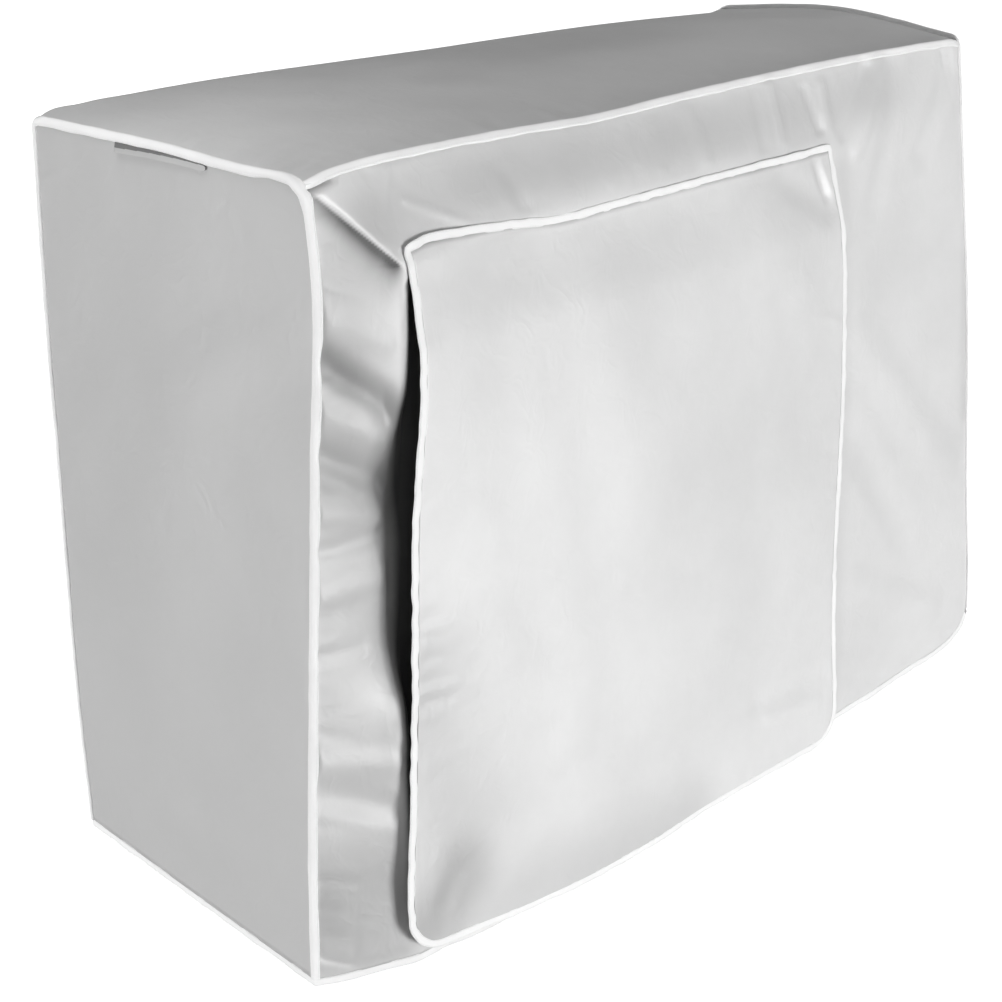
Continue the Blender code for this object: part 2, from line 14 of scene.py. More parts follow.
import logging
import math
from collections.abc import Callable, Sequence
from dataclasses import dataclass
from enum import Enum
from typing import NamedTuple

import bpy
import numpy as np
from numpy.typing import NDArray
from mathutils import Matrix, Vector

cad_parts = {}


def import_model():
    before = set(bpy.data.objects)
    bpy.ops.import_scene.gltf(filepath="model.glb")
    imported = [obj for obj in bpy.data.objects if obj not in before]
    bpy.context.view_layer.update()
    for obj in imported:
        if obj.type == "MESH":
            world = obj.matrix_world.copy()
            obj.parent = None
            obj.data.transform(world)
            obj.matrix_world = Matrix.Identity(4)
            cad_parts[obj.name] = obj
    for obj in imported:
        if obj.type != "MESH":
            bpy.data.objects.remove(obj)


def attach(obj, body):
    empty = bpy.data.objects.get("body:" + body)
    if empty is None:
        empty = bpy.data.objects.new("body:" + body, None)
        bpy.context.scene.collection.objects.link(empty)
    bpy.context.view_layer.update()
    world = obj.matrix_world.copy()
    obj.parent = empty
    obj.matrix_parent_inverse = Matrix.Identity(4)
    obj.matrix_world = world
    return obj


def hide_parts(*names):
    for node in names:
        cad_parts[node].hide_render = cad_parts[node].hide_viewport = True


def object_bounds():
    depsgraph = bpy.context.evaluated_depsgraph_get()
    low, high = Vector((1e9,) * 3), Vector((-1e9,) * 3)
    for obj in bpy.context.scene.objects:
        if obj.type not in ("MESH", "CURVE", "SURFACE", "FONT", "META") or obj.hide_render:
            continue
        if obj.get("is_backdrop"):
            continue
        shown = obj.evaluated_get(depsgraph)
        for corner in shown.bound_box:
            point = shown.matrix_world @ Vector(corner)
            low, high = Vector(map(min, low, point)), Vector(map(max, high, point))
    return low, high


LOG = logging.getLogger("cover")
SURFACE_MAP = "cloth"
# Name of the point attribute of painted shade: how far a sheet's colour is darkened where shade
# falls.
PAINTED_SHADE_MAP = "hollow"

Field = NDArray[np.float64]
Surface = Callable[[Field, Field], Field]


class Edge(NamedTuple):
    """Place of an upright edge at one height."""

    height: float
    x: float
    y: float


class Height(NamedTuple):
    """Height of a side of the top or the hem, at a place from 0 to 1 along it."""

    place: float
    z: float


class Swell(NamedTuple):
    """How far the front stands out: at the flap's top edge, at mid height and at the hem."""

    x: float
    flap_line: float
    middle: float
    hem: float


class Strip(NamedTuple):
    """How far the strip left of the flap stands out, and where the dark behind it starts.

    It stands out by the first four sizes near the left edge, half way, at the strip's
    lip and behind the lip, which lies at its own place across. The dark behind it is
    painted shade: dark is where it starts and soft is how wide it comes in.
    """

    height: float
    near: float
    half: float
    lip: float
    behind: float
    place: float
    dark: float
    soft: float


class Hang(NamedTuple):
    """How far the flap stands out of the front: its left edge, its middle, its right edge."""

    height: float
    left: float
    middle: float
    right: float


class Sides(NamedTuple):
    """Where the flap's two sides run at one height."""

    height: float
    left: float
    right: float


class Sag(NamedTuple):
    """How far the flap's top or bottom edge lies above or below its straight line."""

    x: float
    drop: float


class Spacing(NamedTuple):
    """Stretch of a grid with evenly spaced lines."""

    start: float
    end: float
    lines: int


class FoldForm(Enum):
    """How a fold looks across: round, narrow with a wide foot, or one side laid over the other."""

    SOFT = "soft"
    CRISP = "crisp"
    LAP = "lap"


class Fold(NamedTuple):
    """Ridge or trough from one point of a panel to another; fade is its loss of height by its end."""

    start: tuple[float, float]
    end: tuple[float, float]
    half_width: float
    rise: float
    fade: float = 0.0
    form: FoldForm = FoldForm.SOFT


FRONT_LEFT_EDGE = (
    Edge(height=-0.020, x=-0.016, y=-0.006),
    Edge(height=0.100, x=-0.012, y=-0.003),
    Edge(height=0.250, x=-0.003, y=0.000),
    Edge(height=0.450, x=0.006, y=0.000),
    Edge(height=0.640, x=0.0115, y=0.000),
    Edge(height=0.680, x=0.0065, y=0.000),
    Edge(height=0.710, x=0.000, y=0.000),
)
FRONT_RIGHT_EDGE = (
    Edge(height=0.050, x=0.954, y=-0.032),
    Edge(height=0.090, x=0.953, y=-0.031),
    Edge(height=0.200, x=0.948, y=-0.024),
    Edge(height=0.420, x=0.943, y=-0.010),
    Edge(height=0.550, x=0.935, y=0.000),
    Edge(height=0.640, x=0.927, y=0.006),
    Edge(height=0.710, x=0.925, y=0.012),
)
BACK_LEFT_EDGE = (
    Edge(height=-0.010, x=0.006, y=0.355),
    Edge(height=0.140, x=-0.001, y=0.355),
    Edge(height=0.350, x=-0.004, y=0.355),
    Edge(height=0.550, x=-0.006, y=0.355),
    Edge(height=0.710, x=-0.005, y=0.355),
)
BACK_RIGHT_EDGE = (
    Edge(height=-0.010, x=0.942, y=0.355),
    Edge(height=0.350, x=0.944, y=0.355),
    Edge(height=0.710, x=0.941, y=0.351),
)

TOP_FRONT = (
    Height(place=0.00, z=0.700),
    Height(place=0.05, z=0.704),
    Height(place=0.15, z=0.706),
    Height(place=0.28, z=0.705),
    Height(place=0.37, z=0.703),
    Height(place=0.48, z=0.706),
    Height(place=0.66, z=0.709),
    Height(place=0.85, z=0.709),
    Height(place=1.00, z=0.706),
)
TOP_LEFT = (
    Height(place=0.00, z=0.700),
    Height(place=0.20, z=0.698),
    Height(place=0.50, z=0.702),
    Height(place=0.72, z=0.702),
    Height(place=1.00, z=0.702),
)
TOP_BACK = (
    Height(place=0.00, z=0.702),
    Height(place=0.015, z=0.710),
    Height(place=0.04, z=0.714),
    Height(place=0.10, z=0.716),
    Height(place=0.50, z=0.714),
    Height(place=0.75, z=0.712),
    Height(place=1.00, z=0.704),
)
TOP_RIGHT = (
    Height(place=0.00, z=0.706),
    Height(place=0.50, z=0.719),
    Height(place=1.00, z=0.704),
)
HEM_FRONT = (
    Height(place=0.00, z=-0.019),
    Height(place=0.14, z=-0.017),
    Height(place=0.50, z=-0.006),
    Height(place=0.78, z=-0.002),
    Height(place=0.84, z=0.000),
    Height(place=0.90, z=0.009),
    Height(place=0.95, z=0.0165),
    Height(place=0.975, z=0.026),
    Height(place=0.99, z=0.038),
    Height(place=1.00, z=0.056),
)
HEM_LEFT = (
    Height(place=0.00, z=-0.019),
    Height(place=0.50, z=-0.012),
    Height(place=1.00, z=-0.003),
)
HEM_BACK = (
    Height(place=0.00, z=-0.003),
    Height(place=0.50, z=-0.006),
    Height(place=1.00, z=-0.003),
)
HEM_RIGHT = (
    Height(place=0.00, z=0.056),
    Height(place=0.04, z=0.036),
    Height(place=0.09, z=0.020),
    Height(place=0.16, z=0.007),
    Height(place=0.25, z=0.003),
    Height(place=0.50, z=-0.002),
    Height(place=1.00, z=-0.003),
)

FRONT_SWELL = (
    Swell(x=0.00, flap_line=0.000, middle=0.000, hem=0.000),
    Swell(x=0.05, flap_line=0.0172, middle=-0.004, hem=0.025),
    Swell(x=0.086, flap_line=0.0294, middle=-0.007, hem=0.033),
    Swell(x=0.10, flap_line=0.030, middle=-0.008, hem=0.036),
    Swell(x=0.25, flap_line=0.029, middle=0.004, hem=0.038),
    Swell(x=0.50, flap_line=0.021, middle=0.012, hem=0.025),
    Swell(x=0.68, flap_line=0.013, middle=0.012, hem=0.005),
    Swell(x=0.80, flap_line=0.009, middle=0.007, hem=-0.006),
    Swell(x=0.94, flap_line=0.000, middle=0.000, hem=0.000),
)
STRIP_SWELL = (
    Strip(height=-0.020, near=0.0120, half=0.0250, lip=0.0340, behind=0.0360, place=0.077, dark=0.105,
          soft=0.010),
    Strip(height=0.003, near=0.0120, half=0.0240, lip=0.0330, behind=0.0300, place=0.077, dark=0.090,
          soft=0.010),
    Strip(height=0.022, near=0.0120, half=0.0230, lip=0.0320, behind=0.0180, place=0.077, dark=0.076,
          soft=0.010),
    Strip(height=0.045, near=0.0120, half=0.0220, lip=0.0310, behind=0.0080, place=0.077, dark=0.070,
          soft=0.010),
    Strip(height=0.100, near=0.0110, half=0.0210, lip=0.0300, behind=0.0030, place=0.077, dark=0.068,
          soft=0.010),
    Strip(height=0.165, near=0.0100, half=0.0190, lip=0.0280, behind=0.0020, place=0.077, dark=0.069,
          soft=0.010),
    Strip(height=0.235, near=0.0090, half=0.0170, lip=0.0250, behind=0.0010, place=0.077, dark=0.073,
          soft=0.010),
    Strip(height=0.262, near=0.0080, half=0.0130, lip=0.0150, behind=0.0030, place=0.077, dark=0.076,
          soft=0.014),
    Strip(height=0.290, near=0.0070, half=0.0100, lip=0.0090, behind=0.0040, place=0.077, dark=0.078,
          soft=0.018),
    Strip(height=0.340, near=0.0060, half=0.0090, lip=0.0080, behind=0.0040, place=0.077, dark=0.080,
          soft=0.020),
    Strip(height=0.440, near=0.0070, half=0.0110, lip=0.0120, behind=0.0060, place=0.078, dark=0.076,
          soft=0.020),
    Strip(height=0.475, near=0.0080, half=0.0150, lip=0.0190, behind=0.0080, place=0.079, dark=0.074,
          soft=0.016),
    Strip(height=0.515, near=0.0090, half=0.0190, lip=0.0290, behind=0.0060, place=0.082, dark=0.075,
          soft=0.013),
    Strip(height=0.555, near=0.0090, half=0.0190, lip=0.0310, behind=0.0070, place=0.084, dark=0.078,
          soft=0.010),
    Strip(height=0.596, near=0.0090, half=0.0180, lip=0.0302, behind=0.0110, place=0.085, dark=0.081,
          soft=0.007),
    Strip(height=0.610, near=0.0088, half=0.0176, lip=0.0297, behind=0.0190, place=0.085, dark=0.084,
          soft=0.005),
    Strip(height=0.622, near=0.0086, half=0.0172, lip=0.0291, behind=0.0298, place=0.085, dark=0.100,
          soft=0.006),
)
FLAP_HANG = (
    Hang(height=-0.008, left=0.053, middle=0.064, right=0.050),
    Hang(height=0.200, left=0.042, middle=0.059, right=0.040),
    Hang(height=0.370, left=0.044, middle=0.054, right=0.033),
    Hang(height=0.500, left=0.049, middle=0.047, right=0.028),
    Hang(height=0.635, left=0.036, middle=0.032, right=0.019),
)
FLAP_SIDES = (
    Sides(height=-0.008, left=0.0580, right=0.686),
    Sides(height=0.060, left=0.0585, right=0.686),
    Sides(height=0.120, left=0.0660, right=0.683),
    Sides(height=0.200, left=0.0712, right=0.684),
    Sides(height=0.300, left=0.0740, right=0.690),
    Sides(height=0.374, left=0.0740, right=0.692),
    Sides(height=0.413, left=0.0735, right=0.692),
    Sides(height=0.447, left=0.0748, right=0.692),
    Sides(height=0.508, left=0.0815, right=0.691),
    Sides(height=0.556, left=0.0860, right=0.687),
    Sides(height=0.600, left=0.0870, right=0.682),
    Sides(height=0.622, left=0.0850, right=0.679),
    Sides(height=0.635, left=0.0825, right=0.677),
)
FLAP_SAG = (
    Sag(x=0.070, drop=0.004),
    Sag(x=0.130, drop=0.003),
    Sag(x=0.280, drop=-0.003),
    Sag(x=0.370, drop=0.000),
    Sag(x=0.470, drop=0.006),
    Sag(x=0.620, drop=0.004),
    Sag(x=0.690, drop=0.003),
)
FLAP_RISE = (
    Sag(x=0.080, drop=0.003),
    Sag(x=0.110, drop=0.008),
    Sag(x=0.160, drop=0.0075),
    Sag(x=0.205, drop=0.0045),
    Sag(x=0.264, drop=-0.0015),
    Sag(x=0.330, drop=-0.001),
    Sag(x=0.420, drop=0.000),
    Sag(x=0.690, drop=0.000),
)

FRONT_FOLDS = (
    Fold((0.004, 0.698), (0.083, 0.6245), 0.022, 0.0004, 0.0, FoldForm.LAP),
    Fold((0.022, 0.667), (0.066, 0.628), 0.014, -0.0010, 0.5),
    Fold((0.010, 0.694), (0.034, 0.698), 0.007, -0.0085, 0.7),
    Fold((0.004, 0.560), (0.085, 0.492), 0.020, -0.0052),
    Fold((0.010, 0.585), (0.070, 0.560), 0.022, 0.0024),
    Fold((0.004, 0.476), (0.090, 0.424), 0.018, -0.0046),
    Fold((0.010, 0.510), (0.080, 0.462), 0.016, 0.0026),
    Fold((0.001, 0.386), (0.082, 0.388), 0.015, -0.0036),
    Fold((0.002, 0.420), (0.080, 0.404), 0.016, 0.0022),
    Fold((0.000, 0.345), (0.070, 0.352), 0.020, 0.0026),
    Fold((-0.002, 0.293), (0.045, 0.292), 0.012, -0.0026, 0.6),
    Fold((-0.006, 0.225), (0.030, 0.212), 0.007, -0.0016, 0.8, FoldForm.CRISP),
    Fold((-0.006, 0.168), (0.062, 0.138), 0.022, -0.0040),
    Fold((-0.006, 0.196), (0.060, 0.180), 0.020, 0.0030),
    Fold((-0.010, 0.140), (0.018, 0.129), 0.008, -0.0018, 0.8, FoldForm.CRISP),
    Fold((-0.010, 0.087), (0.024, 0.074), 0.008, -0.0018, 0.8, FoldForm.CRISP),
    Fold((-0.010, 0.060), (0.016, 0.051), 0.006, -0.0014, 0.8, FoldForm.CRISP),
    Fold((-0.012, 0.033), (0.014, 0.022), 0.007, -0.0016, 0.8, FoldForm.CRISP),
    Fold((-0.010, 0.010), (0.018, -0.006), 0.008, -0.0022, 0.4, FoldForm.CRISP),
    Fold((0.100, 0.671), (0.176, 0.637), 0.006, 0.0011, 0.0, FoldForm.CRISP),
    Fold((0.196, 0.680), (0.213, 0.642), 0.008, 0.0012, 0.2),
    Fold((0.216, 0.676), (0.230, 0.644), 0.010, -0.0011, 0.2),
    Fold((0.344, 0.656), (0.341, 0.632), 0.007, 0.0012),
    Fold((0.377, 0.654), (0.373, 0.632), 0.008, -0.0012),
    Fold((0.414, 0.650), (0.410, 0.630), 0.007, 0.0012),
    Fold((0.470, 0.690), (0.478, 0.640), 0.016, 0.0018),
    Fold((0.570, 0.700), (0.568, 0.642), 0.012, -0.0022),
    Fold((0.594, 0.700), (0.598, 0.640), 0.011, 0.0026),
    Fold((0.648, 0.690), (0.662, 0.650), 0.010, -0.0024),
    Fold((0.675, 0.690), (0.680, 0.640), 0.013, 0.0024),
    Fold((0.750, 0.698), (0.700, 0.640), 0.014, -0.0030),
    Fold((0.775, 0.698), (0.724, 0.620), 0.018, 0.0034),
    Fold((0.800, 0.690), (0.760, 0.560), 0.026, -0.0022),
    Fold((0.900, 0.680), (0.850, 0.600), 0.028, -0.0030),
    Fold((0.740, 0.420), (0.900, 0.250), 0.040, 0.0030),
    Fold((0.720, 0.330), (0.830, 0.180), 0.034, -0.0028),
    Fold((0.740, 0.150), (0.880, 0.080), 0.030, 0.0026),
    Fold((0.700, 0.060), (0.800, 0.020), 0.022, -0.0020),
)
FLAP_FOLDS = (
    Fold((0.080, 0.329), (0.104, 0.327), 0.007, 0.0016, 0.8),
    Fold((0.080, 0.305), (0.112, 0.304), 0.007, 0.0020, 0.8),
    Fold((0.078, 0.268), (0.106, 0.267), 0.006, 0.0018, 0.8),
    Fold((0.078, 0.247), (0.122, 0.244), 0.007, 0.0030, 0.7),
    Fold((0.076, 0.236), (0.116, 0.232), 0.006, -0.0022, 0.7),
    Fold((0.074, 0.224), (0.102, 0.217), 0.006, 0.0018, 0.8),
    Fold((0.080, 0.420), (0.100, 0.424), 0.009, -0.0012, 0.8),
    Fold((0.080, 0.550), (0.106, 0.556), 0.010, 0.0014, 0.8),
    Fold((0.683, 0.455), (0.634, 0.472), 0.008, 0.0018, 0.7),
    Fold((0.684, 0.319), (0.646, 0.327), 0.007, -0.0014, 0.7),
    Fold((0.684, 0.275), (0.658, 0.281), 0.007, 0.0016, 0.7),
    Fold((0.684, 0.180), (0.650, 0.190), 0.009, -0.0014, 0.7),
    Fold((0.646, 0.626), (0.664, 0.586), 0.010, -0.0034),
    Fold((0.600, 0.610), (0.660, 0.575), 0.026, -0.0030),
    Fold((0.560, 0.600), (0.620, 0.480), 0.050, 0.0020),
    Fold((0.118, 0.062), (0.092, 0.028), 0.018, -0.0009),
    Fold((0.100, 0.090), (0.088, 0.050), 0.018, 0.0005),
    Fold((0.560, 0.062), (0.650, 0.050), 0.014, 0.0018),
    Fold((0.540, 0.086), (0.660, 0.078), 0.020, -0.0022),
    Fold((0.300, 0.560), (0.420, 0.100), 0.090, 0.0034),
    Fold((0.180, 0.580), (0.230, 0.180), 0.060, -0.0018),
    Fold((0.500, 0.540), (0.560, 0.220), 0.060, -0.0020),
    Fold((0.130, 0.300), (0.260, 0.160), 0.050, 0.0016),
)
# Painted shade on the front panel, as folds whose rise is how far the colour is darkened: over the
# left strip, under the corner tape, below the corner crease, in the strip's folds, above the flap and
# at the right edge.
FRONT_PAINTED_SHADE = (
    Fold((0.030, 0.600), (0.035, 0.010), 0.110, 0.29),
    Fold((0.077, 0.6265), (0.016, 0.6840), 0.014, 1.00, 0.25, FoldForm.LAP),
    Fold((0.010, 0.693), (0.030, 0.697), 0.006, 0.60, 0.4),
    Fold((0.006, 0.560), (0.085, 0.492), 0.026, 0.32),
    Fold((0.006, 0.460), (0.080, 0.430), 0.060, 0.20),
    Fold((0.072, 0.470), (0.080, 0.220), 0.024, 0.30),
    Fold((0.000, 0.060), (0.070, 0.050), 0.090, 0.20),
    Fold((0.070, 0.668), (0.780, 0.672), 0.052, 0.19, 0.4),
    Fold((0.700, 0.600), (0.700, 0.020), 0.030, 0.08),
    Fold((0.946, 0.500), (0.946, 0.300), 0.024, 0.16),
)
# Painted shade on the flap, as folds whose rise is how far the colour is darkened: towards its bottom
# and bottom-left corner, and near its top corners.
FLAP_PAINTED_SHADE = (
    Fold((0.074, 0.020), (0.120, 0.060), 0.060, 0.26),
    Fold((0.100, 0.010), (0.420, 0.000), 0.080, 0.17),
    Fold((0.080, 0.260), (0.120, 0.110), 0.100, 0.18),
    Fold((0.640, 0.610), (0.670, 0.560), 0.050, 0.04),
    Fold((0.100, 0.610), (0.200, 0.610), 0.060, 0.06),
)
TOP_FOLDS = (
    Fold((0.060, 0.000), (0.060, 0.022), 0.006, 0.0018, 0.6, FoldForm.CRISP),
    Fold((0.083, 0.000), (0.098, 0.046), 0.008, 0.0024, 0.7, FoldForm.CRISP),
    Fold((0.104, 0.000), (0.112, 0.030), 0.007, -0.0018, 0.6),
    Fold((0.128, 0.000), (0.136, 0.040), 0.008, 0.0024, 0.7, FoldForm.CRISP),
    Fold((0.168, 0.000), (0.176, 0.030), 0.008, -0.0014, 0.7),
    Fold((0.214, 0.000), (0.239, 0.070), 0.010, 0.0030, 0.7, FoldForm.CRISP),
    Fold((0.236, 0.000), (0.262, 0.060), 0.010, -0.0020, 0.7),
    Fold((0.304, 0.000), (0.325, 0.072), 0.010, 0.0030, 0.7, FoldForm.CRISP),
    Fold((0.326, 0.000), (0.345, 0.050), 0.010, -0.0018, 0.7),
    Fold((0.359, 0.000), (0.374, 0.054), 0.009, 0.0026, 0.7, FoldForm.CRISP),
    Fold((0.400, 0.000), (0.409, 0.040), 0.008, 0.0022, 0.7, FoldForm.CRISP),
    Fold((0.474, 0.000), (0.481, 0.026), 0.007, 0.0016, 0.7, FoldForm.CRISP),
    Fold((0.560, 0.000), (0.566, 0.030), 0.009, -0.0014, 0.7),
    Fold((0.640, 0.000), (0.648, 0.030), 0.009, 0.0014, 0.7),
    Fold((0.008, 0.150), (0.040, 0.156), 0.009, -0.0024, 0.8),
    Fold((0.008, 0.105), (0.046, 0.112), 0.010, -0.0028, 0.8),
    Fold((0.010, 0.062), (0.070, 0.080), 0.012, 0.0026, 0.6),
    Fold((0.012, 0.030), (0.060, 0.048), 0.012, -0.0026, 0.6),
    Fold((0.250, 0.230), (0.560, 0.300), 0.060, 0.0022),
    Fold((0.120, 0.180), (0.300, 0.120), 0.060, -0.0016),
    Fold((0.620, 0.260), (0.880, 0.160), 0.060, 0.0018),
)
SIDE_FOLDS = (
    Fold((0.040, 0.560), (0.180, 0.500), 0.050, 0.0010),
    Fold((0.120, 0.260), (0.300, 0.180), 0.060, -0.0010),
    Fold((0.060, 0.080), (0.200, 0.060), 0.040, 0.0010),
)


@dataclass(frozen=True)
class Sizes:
    """Driving sizes of the cover."""

    width: float = 0.94
    depth: float = 0.355
    top: float = 0.7145
    cloth: float = 0.0015
    shown_cloth: float = 0.0008
    back_fold: float = 0.025
    tape: float = 0.0070
    tape_leg: float = 0.0049
    tape_rise: float = 0.0017
    tape_thickness: float = 0.0017
    tape_tuck: float = 0.0010
    crown: float = 0.004
    corner: float = 0.012
    seam_radius: float = 0.003
    flap_left: float = 0.075
    flap_right: float = 0.690
    flap_top: float = 0.635
    flap_bottom: float = -0.008
    flap_corner: float = 0.038
    flap_seat: float = 0.0019
    fold_end: float = 0.007
    mitre_end: float = 0.086
    mitre_drop: float = 0.012
    mitre_bend: float = 0.0010

    @property
    def origin(self) -> Field:
        """Place of the part's origin in the maker's frame."""
        return np.array((self.width / 2, self.depth / 2, self.top - self.cloth))


SIZES = Sizes()


def mix(start: Field, end: Field, share: Field) -> Field:
    """Value part of the way from start to end."""
    return start + (end - start) * share


def eased(share: Field) -> Field:
    """Share from 0 to 1 eased at both ends: 3 s squared less 2 s cubed."""
    share = np.clip(share, 0.0, 1.0)
    return share * share * (3 - 2 * share)


def unit(vectors: Field) -> Field:
    """Vectors of length one."""
    return vectors / np.linalg.norm(vectors, axis=-1, keepdims=True)


def lines(spacings: Sequence[Spacing]) -> Field:
    """Places of a grid's lines, stretch after stretch.

    Args:
        spacings: the stretches, each starting where the one before it ends.

    Returns:
        The places in rising order, the last end among them.
    """
    runs = [np.linspace(s.start, s.end, s.lines, endpoint=False) for s in spacings]
    return np.concatenate([*runs, [spacings[-1].end]])


def curve_through(places: Field, sizes: Field, values: Field) -> Field:
    """Read smooth curves through knots, flat beyond their ends.

    Each stretch is the cubic that meets its two knots with their slopes. A knot's
    slope is the mean of the slopes beside it, weighted by the other's length.

    Args:
        places: the knots' places, alike for all values or one column for each value.
        sizes: the knots' sizes, in the same way.
        values: where to read.

    Returns:
        The size at each value.
    """
    values = np.asarray(values, dtype=float)

    def spread(knots: Field) -> Field:
        """One column of knots for each value."""
        knots = np.asarray(knots, dtype=float)
        if knots.ndim == 1:
            knots = knots.reshape(-1, *([1] * values.ndim))
        return np.broadcast_to(knots, (len(knots), *values.shape))

    knots = spread(places)
    levels = spread(sizes)
    values = np.clip(values, knots[0], knots[-1])
    spans = np.diff(knots, axis=0)
    rises = np.diff(levels, axis=0) / spans
    inner = (spans[:-1] * rises[1:] + spans[1:] * rises[:-1]) / (spans[:-1] + spans[1:])
    slopes = np.concatenate([rises[:1], inner, rises[-1:]])
    row = np.sum(values >= knots[1:-1], axis=0)[None]

    def pick(columns: Field, offset: int = 0) -> Field:
        """Entry of each column at its value's row."""
        return np.take_along_axis(columns, row + offset, axis=0)[0]

    span = pick(spans)
    t = (values - pick(knots)) / span
    start = (1 + 2 * t) * (1 - t) ** 2 * pick(levels) + t * (1 - t) ** 2 * span * pick(slopes)
    end = t * t * (3 - 2 * t) * pick(levels, 1) - t * t * (1 - t) * span * pick(slopes, 1)
    return start + end


def read(table: Sequence[NamedTuple], column: str, values: Field) -> Field:
    """Read one column of a table at places along its first column.

    Args:
        table: rows in rising order of their first column.
        column: name of the column to read.
        values: where to read.

    Returns:
        The column's smooth curve at each value.
    """
    places = np.array([row[0] for row in table])
    sizes = np.array([getattr(row, column) for row in table])
    return curve_through(places, sizes, values)


def edge_line(table: Sequence[Edge], heights: Field) -> Field:
    """Points of an upright edge at the given heights."""
    return np.stack((read(table, "x", heights), read(table, "y", heights), heights), axis=-1)


def fold_relief(folds: Sequence[Fold], across: Field, along: Field) -> Field:
    """Sum of the folds at points of a panel.

    Away from its line, a soft fold is half a cosine wave, and a crisp one falls as
    one over one plus the squared distance. A lap rises within its lip on the left
    of its line and dies away as an exponential.

    Args:
        folds: the folds, in the panel's own flat sizes.
        across: first coordinate of the points.
        along: second coordinate of the points.

    Returns:
        How far each point stands out.
    """
    lip = 0.0034
    total = np.zeros(np.broadcast(across, along).shape)
    for fold in folds:
        run = np.subtract(fold.end, fold.start)
        length = float(np.hypot(*run))
        right = across - fold.start[0]
        up = along - fold.start[1]
        share = np.clip((right * run[0] + up * run[1]) / length ** 2, 0.0, 1.0)
        distance = np.hypot(right - run[0] * share, up - run[1] * share)
        near = distance / fold.half_width
        height = fold.rise * (1 - fold.fade * share)
        window = (1 + np.cos(math.pi * np.minimum(near, 1.0))) / 2
        if fold.form is FoldForm.SOFT:
            total += height * window
        elif fold.form is FoldForm.CRISP:
            wide = (1 + np.cos(math.pi * np.minimum(near / 2, 1.0))) / 2
            total += height * wide / (1 + (2.2 * near) ** 2)
        else:
            side = (run[0] * up - run[1] * right) / length
            beyond = np.maximum(distance - np.abs(side), 0.0) / fold.half_width
            falling = np.exp(-np.maximum(side, 0.0) / fold.half_width - (2 * beyond) ** 2)
            total += height * eased(side / lip + 0.5) * falling
    return total


def puckers(along: Field, away: Field, start: float, end: float, seed: int,
            rise: float = 0.0012, pitch: float = 0.019, reach: float = 0.020) -> Field:
    """Small gathers that a seam draws into the cloth beside it.

    Each gather is a bell across, leans a little, grows from nothing at the seam to
    its full height just past the tape and dies away as an exponential.

    Args:
        along: place along the seam.
        away: distance from the seam.
        start: where the seam starts.
        end: where it ends.
        seed: picks the gathers.
        rise: usual height.
        pitch: usual spacing.
        reach: usual length.

    Returns:
        How far each point stands out.
    """
    rng = np.random.default_rng(seed)
    grown = eased((away - 0.002) / 0.008)
    total = np.zeros(np.broadcast(along, away).shape)
    count = int(abs(end - start) / pitch)
    for number in range(count):
        centre = start + (end - start) * (number + rng.uniform(0.1, 0.9)) / count
        half = pitch * rng.uniform(0.16, 0.42)
        height = rise * rng.normal(0.0, 0.62)
        length = reach * rng.uniform(0.35, 1.7)
        lean = rng.uniform(-0.45, 0.45)
        bell = np.exp(-(((along - centre - lean * away) / half) ** 2))
        total += height * bell * grown * np.exp(-np.maximum(away, 0.0) / length)
    return total


def unevenness(across: Field, along: Field, size: float, seed: int) -> Field:
    """Gentle unevenness of hung cloth, about one high.

    It is the sum of plane waves in seeded directions, over the root of their number.

    Args:
        across: first coordinate of the points.
        along: second coordinate of the points.
        size: usual length of a wave.
        seed: picks the waves.

    Returns:
        Height at each point.
    """
    waves = 14
    rng = np.random.default_rng(seed)
    total = np.zeros(np.broadcast(across, along).shape)
    for _ in range(waves):
        angle = rng.uniform(0.0, 2 * math.pi)
        length = size * rng.uniform(0.6, 1.9)
        phase = rng.uniform(0.0, 2 * math.pi)
        travel = across * math.cos(angle) + along * math.sin(angle)
        total += np.sin(2 * math.pi * travel / length + phase)
    return total / math.sqrt(waves)


def rounded(points: Field, across: Field) -> Field:
    """Round off the edge between the front and the top, most at its left end.

    Seen from the side, the sharp corner's two lines become an arc. A point deeper
    inside follows a smaller arc about the same centre.

    Args:
        points: points in the maker's frame.
        across: their share of the cover's width.

    Returns:
        The moved points.
    """
    top = read(TOP_FRONT, "z", across)
    front = mix(read(FRONT_LEFT_EDGE, "y", top), read(FRONT_RIGHT_EDGE, "y", top), across)
    left = np.exp(-((across * SIZES.width / 0.030) ** 2))
    right = np.exp(-(((1 - across) * SIZES.width / 0.020) ** 2))
    radius = SIZES.seam_radius + SIZES.corner * left + 0.4 * SIZES.corner * right
    behind = points[..., 1] - front
    below = top - points[..., 2]
    depth = np.minimum(behind, below)
    reach = np.maximum(radius - depth, 1e-9)
    place = below - behind
    turn = (place + reach) / (2 * reach) * math.pi / 2
    on_arc = np.abs(place) < reach
    new_behind = np.where(on_arc, depth + reach * (1 - np.sin(turn)), behind)
    new_below = np.where(on_arc, depth + reach * (1 - np.cos(turn)), below)
    near = depth < radius
    moved = points.copy()
    moved[..., 1] = np.where(near, front + new_behind, points[..., 1])
    moved[..., 2] = np.where(near, top - new_below, points[..., 2])
    return moved


